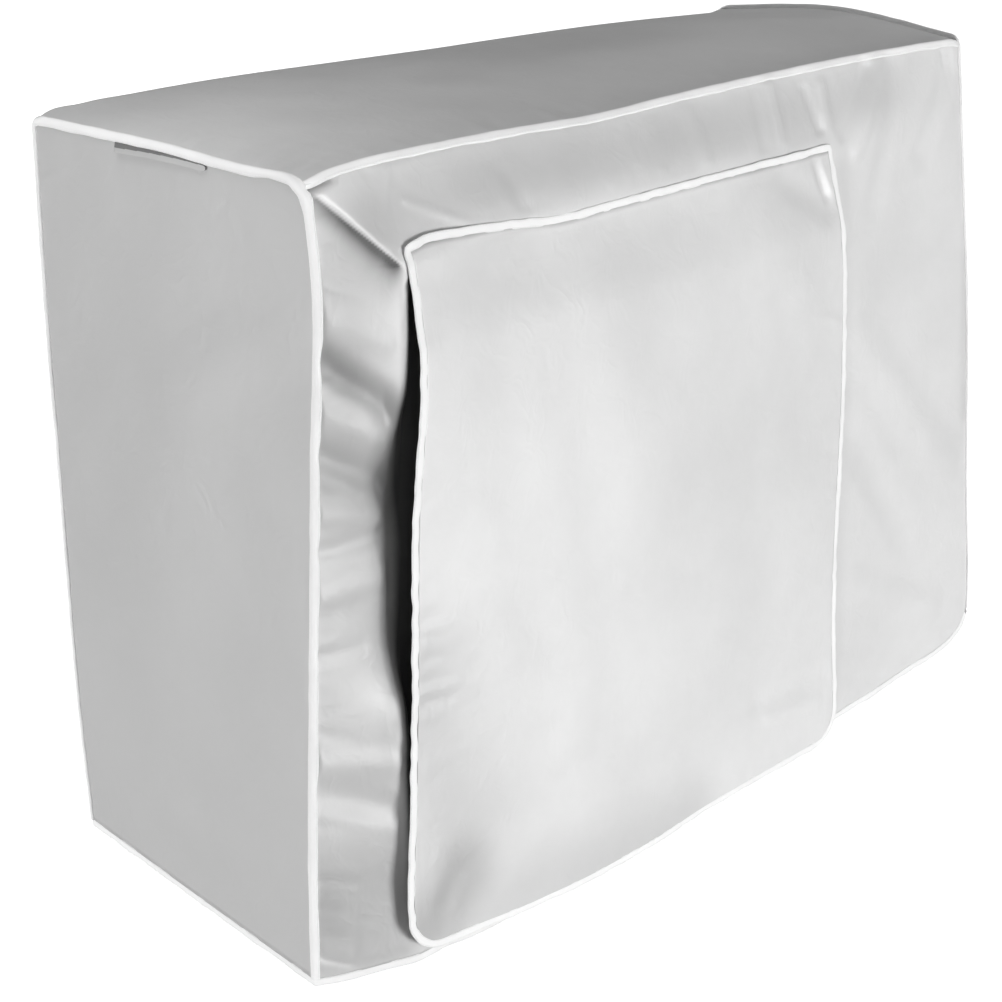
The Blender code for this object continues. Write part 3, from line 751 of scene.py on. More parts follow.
def top_height(across: Field, back: Field) -> Field:
    """Height of the top: a patch stretched between its four sides, a little crowned.

    Args:
        across: share of the width.
        back: share of the depth.

    Returns:
        Front mixed with back, plus left mixed with right, less the four corners'
        own mix, plus a crown of sine times sine.
    """
    front = read(TOP_FRONT, "z", across)
    rear = read(TOP_BACK, "z", across)
    left = read(TOP_LEFT, "z", back)
    right = read(TOP_RIGHT, "z", back)
    corners = mix(
        mix(TOP_FRONT[0].z, TOP_FRONT[-1].z, across),
        mix(TOP_BACK[0].z, TOP_BACK[-1].z, across),
        back,
    )
    crown = SIZES.crown * np.sin(math.pi * across) * np.sin(math.pi * back)
    return mix(front, rear, back) + mix(left, right, across) - corners + crown


def fold_radius(across: Field) -> Field:
    """Radius of the fold between the top and the back: small at the two side seams."""
    inside = np.minimum(across, 1 - across) * SIZES.width
    return mix(SIZES.fold_end, SIZES.back_fold, eased(inside / 0.045))


def front_swell(x: Field, height: Field) -> Field:
    """How far the front panel stands out of its plane, from the hem to its top seam.

    Above the flap's top edge, one plane slopes out from the top seam and one from
    the left seam. The panel is the lower of the two, so they meet in a diagonal
    crease from the corner to the flap. The bend there is a root of squares. Beside
    the flap, below its top edge, the panel stands out to a lip and sinks behind it.

    Args:
        x: place across, from the left edge.
        height: height of the place.

    Returns:
        The distance out at each place.
    """
    hem = read(FRONT_SWELL, "hem", x)
    middle = read(FRONT_SWELL, "middle", x)
    flap_line = read(FRONT_SWELL, "flap_line", x)
    seam = read(TOP_FRONT, "z", x / SIZES.width)
    flat = np.zeros_like(seam)
    strip = np.stack([read(STRIP_SWELL, name, height) for name in Strip._fields[1:5]])
    below = SIZES.flap_top - 0.033
    heights = np.stack([flat - 0.02, flat + 0.06, flat + 0.30, flat + 0.50, flat + below,
                        flat + SIZES.flap_top, seam])
    sizes = np.stack([hem, mix(hem, middle, 0.25), mix(hem, middle, 0.85), middle,
                      mix(middle, flap_line, 0.55), flap_line, flat])
    smooth = curve_through(heights, sizes, height)
    base = SIZES.flap_top - SIZES.mitre_drop
    share = np.clip((seam - height) / (seam - base), 0.0, 1.0)
    sloped = read(FRONT_SWELL, "flap_line", np.maximum(x, SIZES.mitre_end)) * share
    apart = flap_line - sloped
    lower = (flap_line + sloped - np.sqrt(apart ** 2 + SIZES.mitre_bend ** 2)) / 2
    lower = lower + SIZES.mitre_bend / 2 * (1 - share)
    near = eased((0.20 - x) / 0.08) * eased((height - base) / 0.006 + 1.0)
    near_out, half_out, lip_out, behind_out = strip
    shoulder = mix(half_out, lip_out, 0.8)
    place = read(STRIP_SWELL, "place", height)
    lipped = curve_through(
        np.stack([flat, flat + 0.025, flat + 0.050, place - 0.007, place, place + 0.017]),
        np.stack([flat, near_out, half_out, shoulder, lip_out, behind_out]), x)
    beside = eased((0.150 - x) / 0.050) * eased((base + 0.003 - height) / 0.006)
    return mix(mix(smooth, lower, near), lipped, beside)


def seam_x(x: Field, height: Field) -> Field:
    """Place across, shifted near the left edge so that the edge itself is at zero."""
    edge = read(FRONT_LEFT_EDGE, "x", height)
    return x - edge * eased((0.060 - x) / 0.060)


def front_depth(x: Field, height: Field) -> Field:
    """Depth of the front panel's face at a place given by x and height."""
    left = edge_line(FRONT_LEFT_EDGE, height)
    right = edge_line(FRONT_RIGHT_EDGE, height)
    share = (x - left[..., 0]) / (right[..., 0] - left[..., 0])
    return mix(left[..., 1], right[..., 1], share) - front_swell(seam_x(x, height), height)


class Slot(Enum):
    """Material slots of the part."""

    CLOTH = "silver_cloth"
    TAPE = "white_binding"


class NodeBench:
    """Short way to fill a shader node tree."""

    def __init__(self, tree: bpy.types.NodeTree) -> None:
        """Keep the tree to fill."""
        self.tree = tree

    def add(self, kind: str, values: dict[str | int, object] | None = None,
            **settings: object) -> bpy.types.Node:
        """Add a node.

        Args:
            kind: Blender's name of the node.
            values: a value or an output to link, for each named or numbered input.
            **settings: properties of the node itself.

        Returns:
            The new node.
        """
        node = self.tree.nodes.new(kind)
        for name, setting in settings.items():
            setattr(node, name, setting)
        for name, value in (values or {}).items():
            if isinstance(value, bpy.types.NodeSocket):
                self.tree.links.new(value, node.inputs[name])
            else:
                node.inputs[name].default_value = value
        return node

    def maths(self, operation: str, *values: object) -> bpy.types.NodeSocket:
        """Output of a Math node over numbers or outputs."""
        return self.add("ShaderNodeMath", dict(enumerate(values)), operation=operation).outputs[0]


def effect_group(name: str, inputs: dict[str, float | None], outputs: Sequence[str],
                 fill: Callable[[NodeBench, bpy.types.Node], Sequence[bpy.types.NodeSocket]],
                 ) -> bpy.types.NodeTree:
    """Build a shader node group once.

    Args:
        name: the group's name.
        inputs: its inputs; a vector where the value is None, else a number.
        outputs: names of its numbers.
        fill: makes the nodes and gives the outputs in order.

    Returns:
        The group.
    """
    if name in bpy.data.node_groups:
        return bpy.data.node_groups[name]
    tree = bpy.data.node_groups.new(name, "ShaderNodeTree")
    for label, value in inputs.items():
        kind = "NodeSocketVector" if value is None else "NodeSocketFloat"
        socket = tree.interface.new_socket(name=label, in_out="INPUT", socket_type=kind)
        if value is not None:
            socket.default_value = value
    for label in outputs:
        tree.interface.new_socket(name=label, in_out="OUTPUT", socket_type="NodeSocketFloat")
    bench = NodeBench(tree)
    start = bench.add("NodeGroupInput")
    results = fill(bench, start)
    bench.add("NodeGroupOutput", dict(zip(outputs, results)))
    return tree


def weave_group() -> bpy.types.NodeTree:
    """Plain weave: sine across times sine along, so that threads pass over and under in turn."""

    def fill(bench: NodeBench, start: bpy.types.Node) -> list[bpy.types.NodeSocket]:
        """Nodes of the weave."""
        parts = bench.add("ShaderNodeSeparateXYZ", {0: start.outputs["Surface"]})
        turns = [
            bench.maths("SINE", bench.maths("MULTIPLY", bench.maths(
                "DIVIDE", parts.outputs[axis], start.outputs["Pitch"]), math.pi))
            for axis in (0, 1)
        ]
        crossing = bench.maths("MULTIPLY", *turns)
        return [bench.maths("MULTIPLY_ADD", crossing, 0.5, 0.5)]

    return effect_group("plain_weave", {"Surface": None, "Pitch": 0.0007}, ["Height"], fill)


def cloud_group() -> bpy.types.NodeTree:
    """Soft clouds of tone: noise with a little finer detail, of a given size."""

    def fill(bench: NodeBench, start: bpy.types.Node) -> list[bpy.types.NodeSocket]:
        """Nodes of the clouds."""
        scaled = bench.add("ShaderNodeVectorMath", {
            0: start.outputs["Place"], 3: bench.maths("DIVIDE", 1.0, start.outputs["Size"]),
        }, operation="SCALE")
        noise = bench.add("ShaderNodeTexNoise", {
            "Vector": scaled.outputs[0], "Scale": 1.0, "Detail": 3.0, "Roughness": 0.5,
        })
        return [noise.outputs[0]]

    return effect_group("soft_clouds", {"Place": None, "Size": 0.15}, ["Cloud"], fill)


def crinkle_group() -> bpy.types.NodeTree:
    """Fine crinkles of coated cloth: noise folded about its middle into thin ridges."""

    def fill(bench: NodeBench, start: bpy.types.Node) -> list[bpy.types.NodeSocket]:
        """Nodes of the crinkles."""
        scaled = bench.add("ShaderNodeVectorMath", {
            0: start.outputs["Place"], 3: bench.maths("DIVIDE", 1.0, start.outputs["Size"]),
        }, operation="SCALE")
        noise = bench.add("ShaderNodeTexNoise", {
            "Vector": scaled.outputs[0], "Scale": 1.0, "Detail": 2.0,
            "Roughness": 0.55, "Distortion": 0.6,
        })
        off = bench.maths("ABSOLUTE", bench.maths("SUBTRACT", noise.outputs[0], 0.5))
        return [bench.maths("SUBTRACT", 1.0, bench.maths("MULTIPLY", off, 3.0))]

    return effect_group("crinkles", {"Place": None, "Size": 0.03}, ["Height"], fill)


def stitch_group() -> bpy.types.NodeTree:
    """Row of stitches along a tape: dashes by the length, within a thin line."""

    def fill(bench: NodeBench, start: bpy.types.Node) -> list[bpy.types.NodeSocket]:
        """Nodes of the stitches."""
        parts = bench.add("ShaderNodeSeparateXYZ", {0: start.outputs["Surface"]})
        turns = bench.maths("FRACT", bench.maths(
            "DIVIDE", parts.outputs[0], start.outputs["Pitch"]))
        middle = bench.maths("ABSOLUTE", bench.maths("SUBTRACT", turns, 0.5))
        dash = bench.add("ShaderNodeMapRange", {
            "Value": middle, "From Min": 0.44, "From Max": 0.34, "To Min": 0.0, "To Max": 1.0,
        })
        side = bench.maths("ABSOLUTE", parts.outputs[1])
        off = bench.maths("ABSOLUTE", bench.maths("SUBTRACT", side, start.outputs["Line"]))
        line = bench.add("ShaderNodeMapRange", {
            "Value": off, "From Min": 0.00045, "From Max": 0.00015, "To Min": 0.0, "To Max": 1.0,
        })
        groove = bench.add("ShaderNodeMapRange", {
            "Value": off, "From Min": 0.0012, "From Max": 0.0002, "To Min": 0.0, "To Max": 1.0,
        })
        thread = bench.maths("MULTIPLY", dash.outputs[0], line.outputs[0])
        return [thread, groove.outputs[0]]

    return effect_group("stitch_row", {"Surface": None, "Pitch": 0.0034, "Line": 0.004},
                        ["Thread", "Groove"], fill)


@dataclass(frozen=True)
class ClothFinish:
    """Light woven cloth with a silver-grey coating."""

    name: str = "silver_cloth"
    dark: tuple[float, float, float] = (0.690, 0.690, 0.690)
    light: tuple[float, float, float] = (0.810, 0.810, 0.810)
    roughness: tuple[float, float] = (0.46, 0.58)
    metallic: float = 0.12
    sheen: float = 0.12
    weave_pitch: float = 0.0007
    weave_relief: float = 0.00006
    crinkle_size: float = 0.028
    crinkle_relief: float = 0.0005

    def build(self) -> bpy.types.Material:
        """Make the material.

        Returns:
            A Principled shader whose tone and gloss follow soft clouds, with the weave
            and fine crinkles as bump; its colour is darkened by the sheet's painted shade.
        """
        finish = bpy.data.materials.new(self.name)
        finish.use_nodes = True
        bench = NodeBench(finish.node_tree)
        shader = finish.node_tree.nodes["Principled BSDF"]
        surface = bench.add("ShaderNodeUVMap", uv_map=SURFACE_MAP)
        place = bench.add("ShaderNodeTexCoord").outputs["Object"]
        weave = bench.add("ShaderNodeGroup", node_tree=weave_group())
        weave.inputs["Pitch"].default_value = self.weave_pitch
        finish.node_tree.links.new(surface.outputs[0], weave.inputs["Surface"])
        wide = bench.add("ShaderNodeGroup", node_tree=cloud_group())
        wide.inputs["Size"].default_value = 0.16
        finish.node_tree.links.new(place, wide.inputs["Place"])
        fine = bench.add("ShaderNodeGroup", node_tree=cloud_group())
        fine.inputs["Size"].default_value = 0.022
        finish.node_tree.links.new(place, fine.inputs["Place"])
        crinkle = bench.add("ShaderNodeGroup", node_tree=crinkle_group())
        crinkle.inputs["Size"].default_value = self.crinkle_size
        finish.node_tree.links.new(place, crinkle.inputs["Place"])

        tone = bench.maths("ADD", bench.maths("MULTIPLY", wide.outputs[0], 0.62),
                           bench.maths("MULTIPLY", fine.outputs[0], 0.22))
        tone = bench.maths("ADD", tone, bench.maths("MULTIPLY", weave.outputs[0], 0.16))
        ramp = bench.add("ShaderNodeValToRGB", {0: tone})
        ramp.color_ramp.elements[0].position = 0.15
        ramp.color_ramp.elements[0].color = (*self.dark, 1.0)
        ramp.color_ramp.elements[1].position = 0.85
        ramp.color_ramp.elements[1].color = (*self.light, 1.0)
        gloss = bench.add("ShaderNodeMapRange", {
            "Value": wide.outputs[0], "From Min": 0.3, "From Max": 0.7,
            "To Min": self.roughness[0], "To Max": self.roughness[1],
        })
        crinkled = bench.add("ShaderNodeBump", {
            "Height": crinkle.outputs[0], "Strength": 0.55, "Distance": self.crinkle_relief,
        })
        woven = bench.add("ShaderNodeBump", {
            "Height": weave.outputs[0], "Strength": 0.5, "Distance": self.weave_relief,
            "Normal": crinkled.outputs[0],
        })
        # Painted shade: the colour is darkened by the sheet's painted shade attribute.
        hollow = bench.add("ShaderNodeAttribute", attribute_name=PAINTED_SHADE_MAP).outputs["Fac"]
        shaded = bench.add("ShaderNodeVectorMath", {
            0: ramp.outputs[0], 3: bench.maths("SUBTRACT", 1.0, hollow),
        }, operation="SCALE")
        links = finish.node_tree.links
        links.new(shaded.outputs[0], shader.inputs["Base Color"])
        links.new(gloss.outputs[0], shader.inputs["Roughness"])
        links.new(woven.outputs[0], shader.inputs["Normal"])
        shader.inputs["Metallic"].default_value = self.metallic
        shader.inputs["Sheen Weight"].default_value = self.sheen
        shader.inputs["Sheen Roughness"].default_value = 0.45
        return finish


@dataclass(frozen=True)
class TapeFinish:
    """Matt white woven tape, stitched along its edges."""

    name: str = "white_binding"
    shade: tuple[float, float, float] = (0.780, 0.780, 0.780)
    white: tuple[float, float, float] = (0.910, 0.910, 0.910)
    rib_pitch: float = 0.0011
    stitch_pitch: float = 0.0034
    stitch_line: float = 0.0034

    def build(self) -> bpy.types.Material:
        """Make the material.

        Returns:
            A Principled shader with ribs across the tape, rows of stitches in a shallow
            groove darkened by painted shade, and faint clouds of wear.
        """
        finish = bpy.data.materials.new(self.name)
        finish.use_nodes = True
        bench = NodeBench(finish.node_tree)
        shader = finish.node_tree.nodes["Principled BSDF"]
        surface = bench.add("ShaderNodeUVMap", uv_map=SURFACE_MAP)
        place = bench.add("ShaderNodeTexCoord").outputs["Object"]
        links = finish.node_tree.links
        stitches = bench.add("ShaderNodeGroup", node_tree=stitch_group())
        stitches.inputs["Pitch"].default_value = self.stitch_pitch
        stitches.inputs["Line"].default_value = self.stitch_line
        links.new(surface.outputs[0], stitches.inputs["Surface"])
        ribs = bench.add("ShaderNodeGroup", node_tree=weave_group())
        ribs.inputs["Pitch"].default_value = self.rib_pitch
        links.new(surface.outputs[0], ribs.inputs["Surface"])
        wear = bench.add("ShaderNodeGroup", node_tree=cloud_group())
        wear.inputs["Size"].default_value = 0.045
        links.new(place, wear.inputs["Place"])

        bright = bench.maths("MULTIPLY_ADD", wear.outputs[0], 0.6, 0.4)
        # Painted shade: the colour is darker in the groove along the stitches.
        bright = bench.maths("SUBTRACT", bright, bench.maths("MULTIPLY", stitches.outputs[1], 0.18))
        bright = bench.maths("ADD", bright, bench.maths("MULTIPLY", stitches.outputs[0], 0.22))
        ramp = bench.add("ShaderNodeValToRGB", {0: bright})
        ramp.color_ramp.elements[0].position = 0.2
        ramp.color_ramp.elements[0].color = (*self.shade, 1.0)
        ramp.color_ramp.elements[1].position = 0.75
        ramp.color_ramp.elements[1].color = (*self.white, 1.0)
        gloss = bench.add("ShaderNodeMapRange", {
            "Value": wear.outputs[0], "From Min": 0.3, "From Max": 0.7,
            "To Min": 0.62, "To Max": 0.74,
        })
        height = bench.maths("SUBTRACT", stitches.outputs[0], stitches.outputs[1])
        sewn = bench.add("ShaderNodeBump", {
            "Height": height, "Strength": 0.8, "Distance": 0.0003,
        })
        ribbed = bench.add("ShaderNodeBump", {
            "Height": ribs.outputs[0], "Strength": 0.5, "Distance": 0.0001,
            "Normal": sewn.outputs[0],
        })
        links.new(ramp.outputs[0], shader.inputs["Base Color"])
        links.new(gloss.outputs[0], shader.inputs["Roughness"])
        links.new(ribbed.outputs[0], shader.inputs["Normal"])
        shader.inputs["Sheen Weight"].default_value = 0.08
        return finish


def add_piece(name: str, points: Field, faces: list[list[int]], surface: Field,
              finish: bpy.types.Material) -> bpy.types.Object:
    """Put a piece into the scene and say which node it stands for.

    Args:
        name: the node's name, which the piece takes with its ending _look.
        points: its points, in the maker's frame.
        faces: point numbers of each face.
        surface: place on the cloth of each face corner, in metres.
        finish: its material.

    Returns:
        The new object.
    """
    mesh = bpy.data.meshes.new(name)
    mesh.from_pydata((points - SIZES.origin).tolist(), [], faces)
    layer = mesh.uv_layers.new(name=SURFACE_MAP)
    layer.data.foreach_set("uv", np.ascontiguousarray(surface, dtype=np.float32).reshape(-1))
    mesh.materials.append(finish)
    mesh.shade_smooth()
    mesh.update()
    piece = bpy.data.objects.new(f"{name}_look", mesh)
    bpy.context.scene.collection.objects.link(piece)
    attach(piece, "root")
    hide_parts(name)
    LOG.info("%s: %d points, %d faces", piece.name, len(points), len(faces))
    return piece


def add_sheet(name: str, points: Field, flat: Field, outward: Sequence[float],
              finish: bpy.types.Material, shade: Field | None = None) -> bpy.types.Object:
    """Cloth on a grid, with its thickness inwards.

    Args:
        name: the node's name.
        points: rows of points, in the maker's frame.
        flat: place of each point on the flat cloth.
        outward: direction that its outer face looks.
        finish: its material.
        shade: painted shade at each point, from 0 to 1, that darkens the cloth's colour; none where
            None.

    Returns:
        The new object.
    """
    rows, columns = points.shape[:2]
    index = np.arange(rows * columns).reshape(rows, columns)
    quads = np.stack((index[:-1, :-1], index[:-1, 1:], index[1:, 1:], index[1:, :-1]), axis=-1)
    quads = quads.reshape(-1, 4)
    middle = quads[len(quads) // 2]
    corners = points.reshape(-1, 3)[middle]
    facing = np.cross(corners[1] - corners[0], corners[3] - corners[0])
    if float(np.dot(facing, outward)) < 0:
        quads = quads[:, ::-1]
    piece = add_piece(name, points.reshape(-1, 3), quads.tolist(),
                      flat.reshape(-1, 2)[quads.reshape(-1)], finish)
    thickness = piece.modifiers.new("thickness", "SOLIDIFY")
    thickness.thickness = SIZES.shown_cloth
    thickness.offset = -1.0
    # Painted shade, kept on the points for the material to darken the colour by.
    if shade is not None:
        layer = piece.data.attributes.new(PAINTED_SHADE_MAP, "FLOAT", "POINT")
        layer.data.foreach_set("value", shade.astype(np.float32).reshape(-1))
    return piece


def add_tube(name: str, rings: Field, widths: Field, closed: bool,
             finish: bpy.types.Material) -> bpy.types.Object:
    """Tape as a skin through its rings of points.

    Args:
        name: the node's name.
        rings: ring after ring of section points, in the maker's frame.
        widths: place of each section point across the tape, in metres.
        closed: whether the last ring joins the first.
        finish: its material.

    Returns:
        The new object.
    """
    count, corners = rings.shape[:2]
    centres = rings.mean(axis=1)
    steps = np.linalg.norm(np.diff(centres, axis=0), axis=1)
    lengths = np.concatenate([[0.0], np.cumsum(steps)])
    if closed:
        lengths = np.append(lengths, lengths[-1] + np.linalg.norm(centres[0] - centres[-1]))
    spans = count if closed else count - 1
    ring = np.arange(spans)[:, None]
    corner = np.arange(corners)[None, :]
    following = (corner + 1) % corners
    after = (ring + 1) % count
    quads = np.stack((ring * corners + corner, ring * corners + following,
                      after * corners + following, after * corners + corner), axis=-1)
    quads = quads.reshape(-1, 4)
    along = np.broadcast_to(lengths[ring], (spans, corners))
    further = np.broadcast_to(lengths[ring + 1], (spans, corners))
    here = np.broadcast_to(widths[corner], (spans, corners))
    beside = np.broadcast_to(widths[following], (spans, corners))
    surface = np.stack((along, here, along, beside, further, beside, further, here), axis=-1)
    surface = surface.reshape(-1, 4, 2)
    points = rings.reshape(-1, 3)
    a, b, c, d = (points[quads[:, k]] - centres[0] for k in range(4))
    volume = np.sum(a * np.cross(b, c)) + np.sum(a * np.cross(c, d))
    caps = [] if closed else [np.arange(corners)[::-1], (count - 1) * corners + np.arange(corners)]
    if volume < 0:
        quads = quads[:, ::-1]
        surface = surface[:, ::-1]
        caps = [cap[::-1] for cap in caps]
    ends = [np.stack((np.full(corners, 0.0), widths[cap % corners]), axis=-1) for cap in caps]
    places = np.concatenate([surface.reshape(-1, 2), *ends])
    faces = quads.tolist() + [cap.tolist() for cap in caps]
    return add_piece(name, points, faces, places, finish)


@dataclass
class FrontPanel:
    """Front of the cover: it leans out to the flap's top edge and sinks in beside the flap."""

    finish: bpy.types.Material
    flat: tuple[float, float] = (0.950, 0.710)
    across: tuple[Spacing, ...] = (
        Spacing(0.00, 0.10, 82), Spacing(0.10, 0.70, 90), Spacing(0.70, 0.95, 46),
        Spacing(0.95, 1.00, 18),
    )
    up: tuple[Spacing, ...] = (
        Spacing(0.00, 0.04, 12), Spacing(0.04, 0.84, 118), Spacing(0.84, 1.00, 54),
    )

    def plane(self, across: Field, height: Field) -> Field:
        """Points between the two upright edges, at a share of the width and a height."""
        return mix(edge_line(FRONT_LEFT_EDGE, height), edge_line(FRONT_RIGHT_EDGE, height),
                   across[..., None])

    def shade(self, across: Field, up: Field) -> Field:
        """Painted shade of the cloth: black in the gap beside the flap, dim along deep folds and on
        faces turned from the light.

        Args:
            across: share of the width.
            up: share of the height.

        Returns:
            Painted shade from 0 to 1.
        """
        low = read(HEM_FRONT, "z", across) + SIZES.tape
        height = mix(low, read(TOP_FRONT, "z", across), up)
        x = self.plane(across, height)[..., 0]
        # Painted shade in the gap behind the flap's left edge, nearly black; the table adds painted
        # shade along folds.
        gap = eased((x - read(STRIP_SWELL, "dark", height)) / read(STRIP_SWELL, "soft", height))
        gap = gap * eased((0.640 - x) / 0.010) * eased((SIZES.flap_top - 0.004 - height) / 0.016)
        return np.clip(0.87 * gap + fold_relief(FRONT_PAINTED_SHADE, x, height), 0.0, 0.90)

    def surface(self, across: Field, up: Field) -> Field:
        """Points of the outer face.

        The front is the plane between its two upright edges, less its swell, its
        folds, its gathers and its unevenness, which all end at the seams.

        Args:
            across: share of the width.
            up: share of the height.

        Returns:
            Points in the maker's frame.
        """
        low = read(HEM_FRONT, "z", across) + SIZES.tape
        high = read(TOP_FRONT, "z", across)
        height = mix(low, high, up)
        points = self.plane(across, height)
        x = points[..., 0]
        inside = eased(across / 0.007) * eased((1 - across) / 0.02)
        inside = inside * eased((1 - up) / 0.009) * eased(up / 0.02)
        beside = eased((x - 0.066) / 0.012) * eased((0.700 - x) / 0.012)
        inside = inside * (1 - beside * eased((SIZES.flap_top + 0.014 - height) / 0.012))
        relief = fold_relief(FRONT_FOLDS, x, height)
        relief = relief + puckers(height, across * SIZES.width, 0.0, 0.69, 11, 0.0014, 0.013,
                                  0.012)
        relief = relief + puckers(height, (1 - across) * SIZES.width, 0.05, 0.69, 12)
        relief = relief + puckers(x, high - height, 0.0, SIZES.width, 13, 0.0012)
        relief = relief + puckers(x, height - low, 0.0, SIZES.width, 14, 0.0010)
        relief = relief + 0.0007 * unevenness(x, height, 0.110, 15)
        points[..., 1] -= front_swell(seam_x(x, height), height) + relief * inside
        return rounded(points, across)

    def build(self) -> bpy.types.Object:
        """Make the panel."""
        across, up = np.meshgrid(lines(self.across), lines(self.up))
        flat = np.stack((across * self.flat[0], up * self.flat[1]), axis=-1)
        return add_sheet("front_panel", self.surface(across, up), flat, (0, -1, 0), self.finish,
                         self.shade(across, up))


@dataclass
class TopAndBack:
    """Strip of cloth that makes the top, turns over a rounded fold and makes the back."""

    finish: bpy.types.Material
    flat: tuple[float, float] = (0.940, 1.075)
    across: tuple[Spacing, ...] = (
        Spacing(0.00, 0.06, 24), Spacing(0.06, 0.94, 140), Spacing(0.94, 1.00, 18),
    )
    stages: tuple[Spacing, ...] = (
        Spacing(0.00, 0.14, 28), Spacing(0.14, 1.00, 56), Spacing(1.00, 2.00, 10),
        Spacing(2.00, 3.00, 104),
    )

    def surface(self, across: Field, stage: Field) -> Field:
        """Points of the outer face.

        Stage runs from 0 to 1 over the top, to 2 round a quarter circle and to 3 at
        the hem. The top lies between its four sides, and the back between its edges.

        Args:
            across: share of the width.
            stage: how far along the strip.

        Returns:
            Points in the maker's frame.
        """
        back = np.minimum(stage, 1.0)
        height = top_height(across, back)
        share = across[..., None]
        front = mix(edge_line(FRONT_LEFT_EDGE, height), edge_line(FRONT_RIGHT_EDGE, height), share)
        rear = mix(edge_line(BACK_LEFT_EDGE, height), edge_line(BACK_RIGHT_EDGE, height), share)
        fold = fold_radius(across)
        rear[..., 1] -= fold
        top = mix(front, rear, back[..., None])
        x = top[..., 0]
        y = top[..., 1]
        inside = eased(across / 0.012) * eased((1 - across) / 0.012) * eased(back / 0.03)
        relief = fold_relief(TOP_FOLDS, x, y)
        relief = relief + puckers(x, y, 0.0, SIZES.width, 21, 0.0014, 0.021, 0.026)
        relief = relief + puckers(y, across * SIZES.width, 0.0, 0.33, 22, 0.0014)
        relief = relief + puckers(y, (1 - across) * SIZES.width, 0.0, 0.33, 23)
        relief = relief + 0.0006 * unevenness(x, y, 0.130, 24)
        top[..., 2] = height + relief * inside * eased((1.0 - back) / 0.06 + 0.2)

        turn = np.clip(stage - 1.0, 0.0, 1.0) * math.pi / 2
        folded = top.copy()
        folded[..., 1] += fold * np.sin(turn)
        folded[..., 2] -= fold * (1 - np.cos(turn))

        fallen = np.clip(stage - 2.0, 0.0, 1.0)
        low = read(HEM_BACK, "z", across) + SIZES.tape
        drop = mix(height - fold, low, fallen)
        wall = mix(edge_line(BACK_LEFT_EDGE, drop), edge_line(BACK_RIGHT_EDGE, drop), share)
        bulge = 0.006 * np.sin(math.pi * across) * np.sin(math.pi * fallen)
        hung = puckers(drop, across * SIZES.width, 0.0, 0.66, 25)
        hung = hung + puckers(drop, (1 - across) * SIZES.width, 0.0, 0.66, 26)
        hung = hung + 0.0022 * unevenness(wall[..., 0], drop * 0.35, 0.170, 27)
        edges = eased(across / 0.012) * eased((1 - across) / 0.012)
        wall[..., 1] += bulge + hung * edges * eased(fallen / 0.12) * eased((1 - fallen) / 0.03)
        points = np.where(stage[..., None] > 2.0, wall, folded)
        return rounded(points, across)

    def build(self) -> bpy.types.Object:
        """Make the strip."""
        across, stage = np.meshgrid(lines(self.across), lines(self.stages))
        points = self.surface(across, stage)
        steps = np.linalg.norm(np.diff(points[:, points.shape[1] // 2], axis=0), axis=1)
        travel = np.concatenate([[0.0], np.cumsum(steps)])
        flat = np.stack((across * self.flat[0], np.broadcast_to(travel[:, None], across.shape)),
                        axis=-1)
        return add_sheet("top_and_back", points, flat, (0, 1, 0.2), self.finish)


class Hand(Enum):
    """Which end of the cover a side panel closes; the value is the way it looks along x."""

    LEFT = -1
    RIGHT = 1


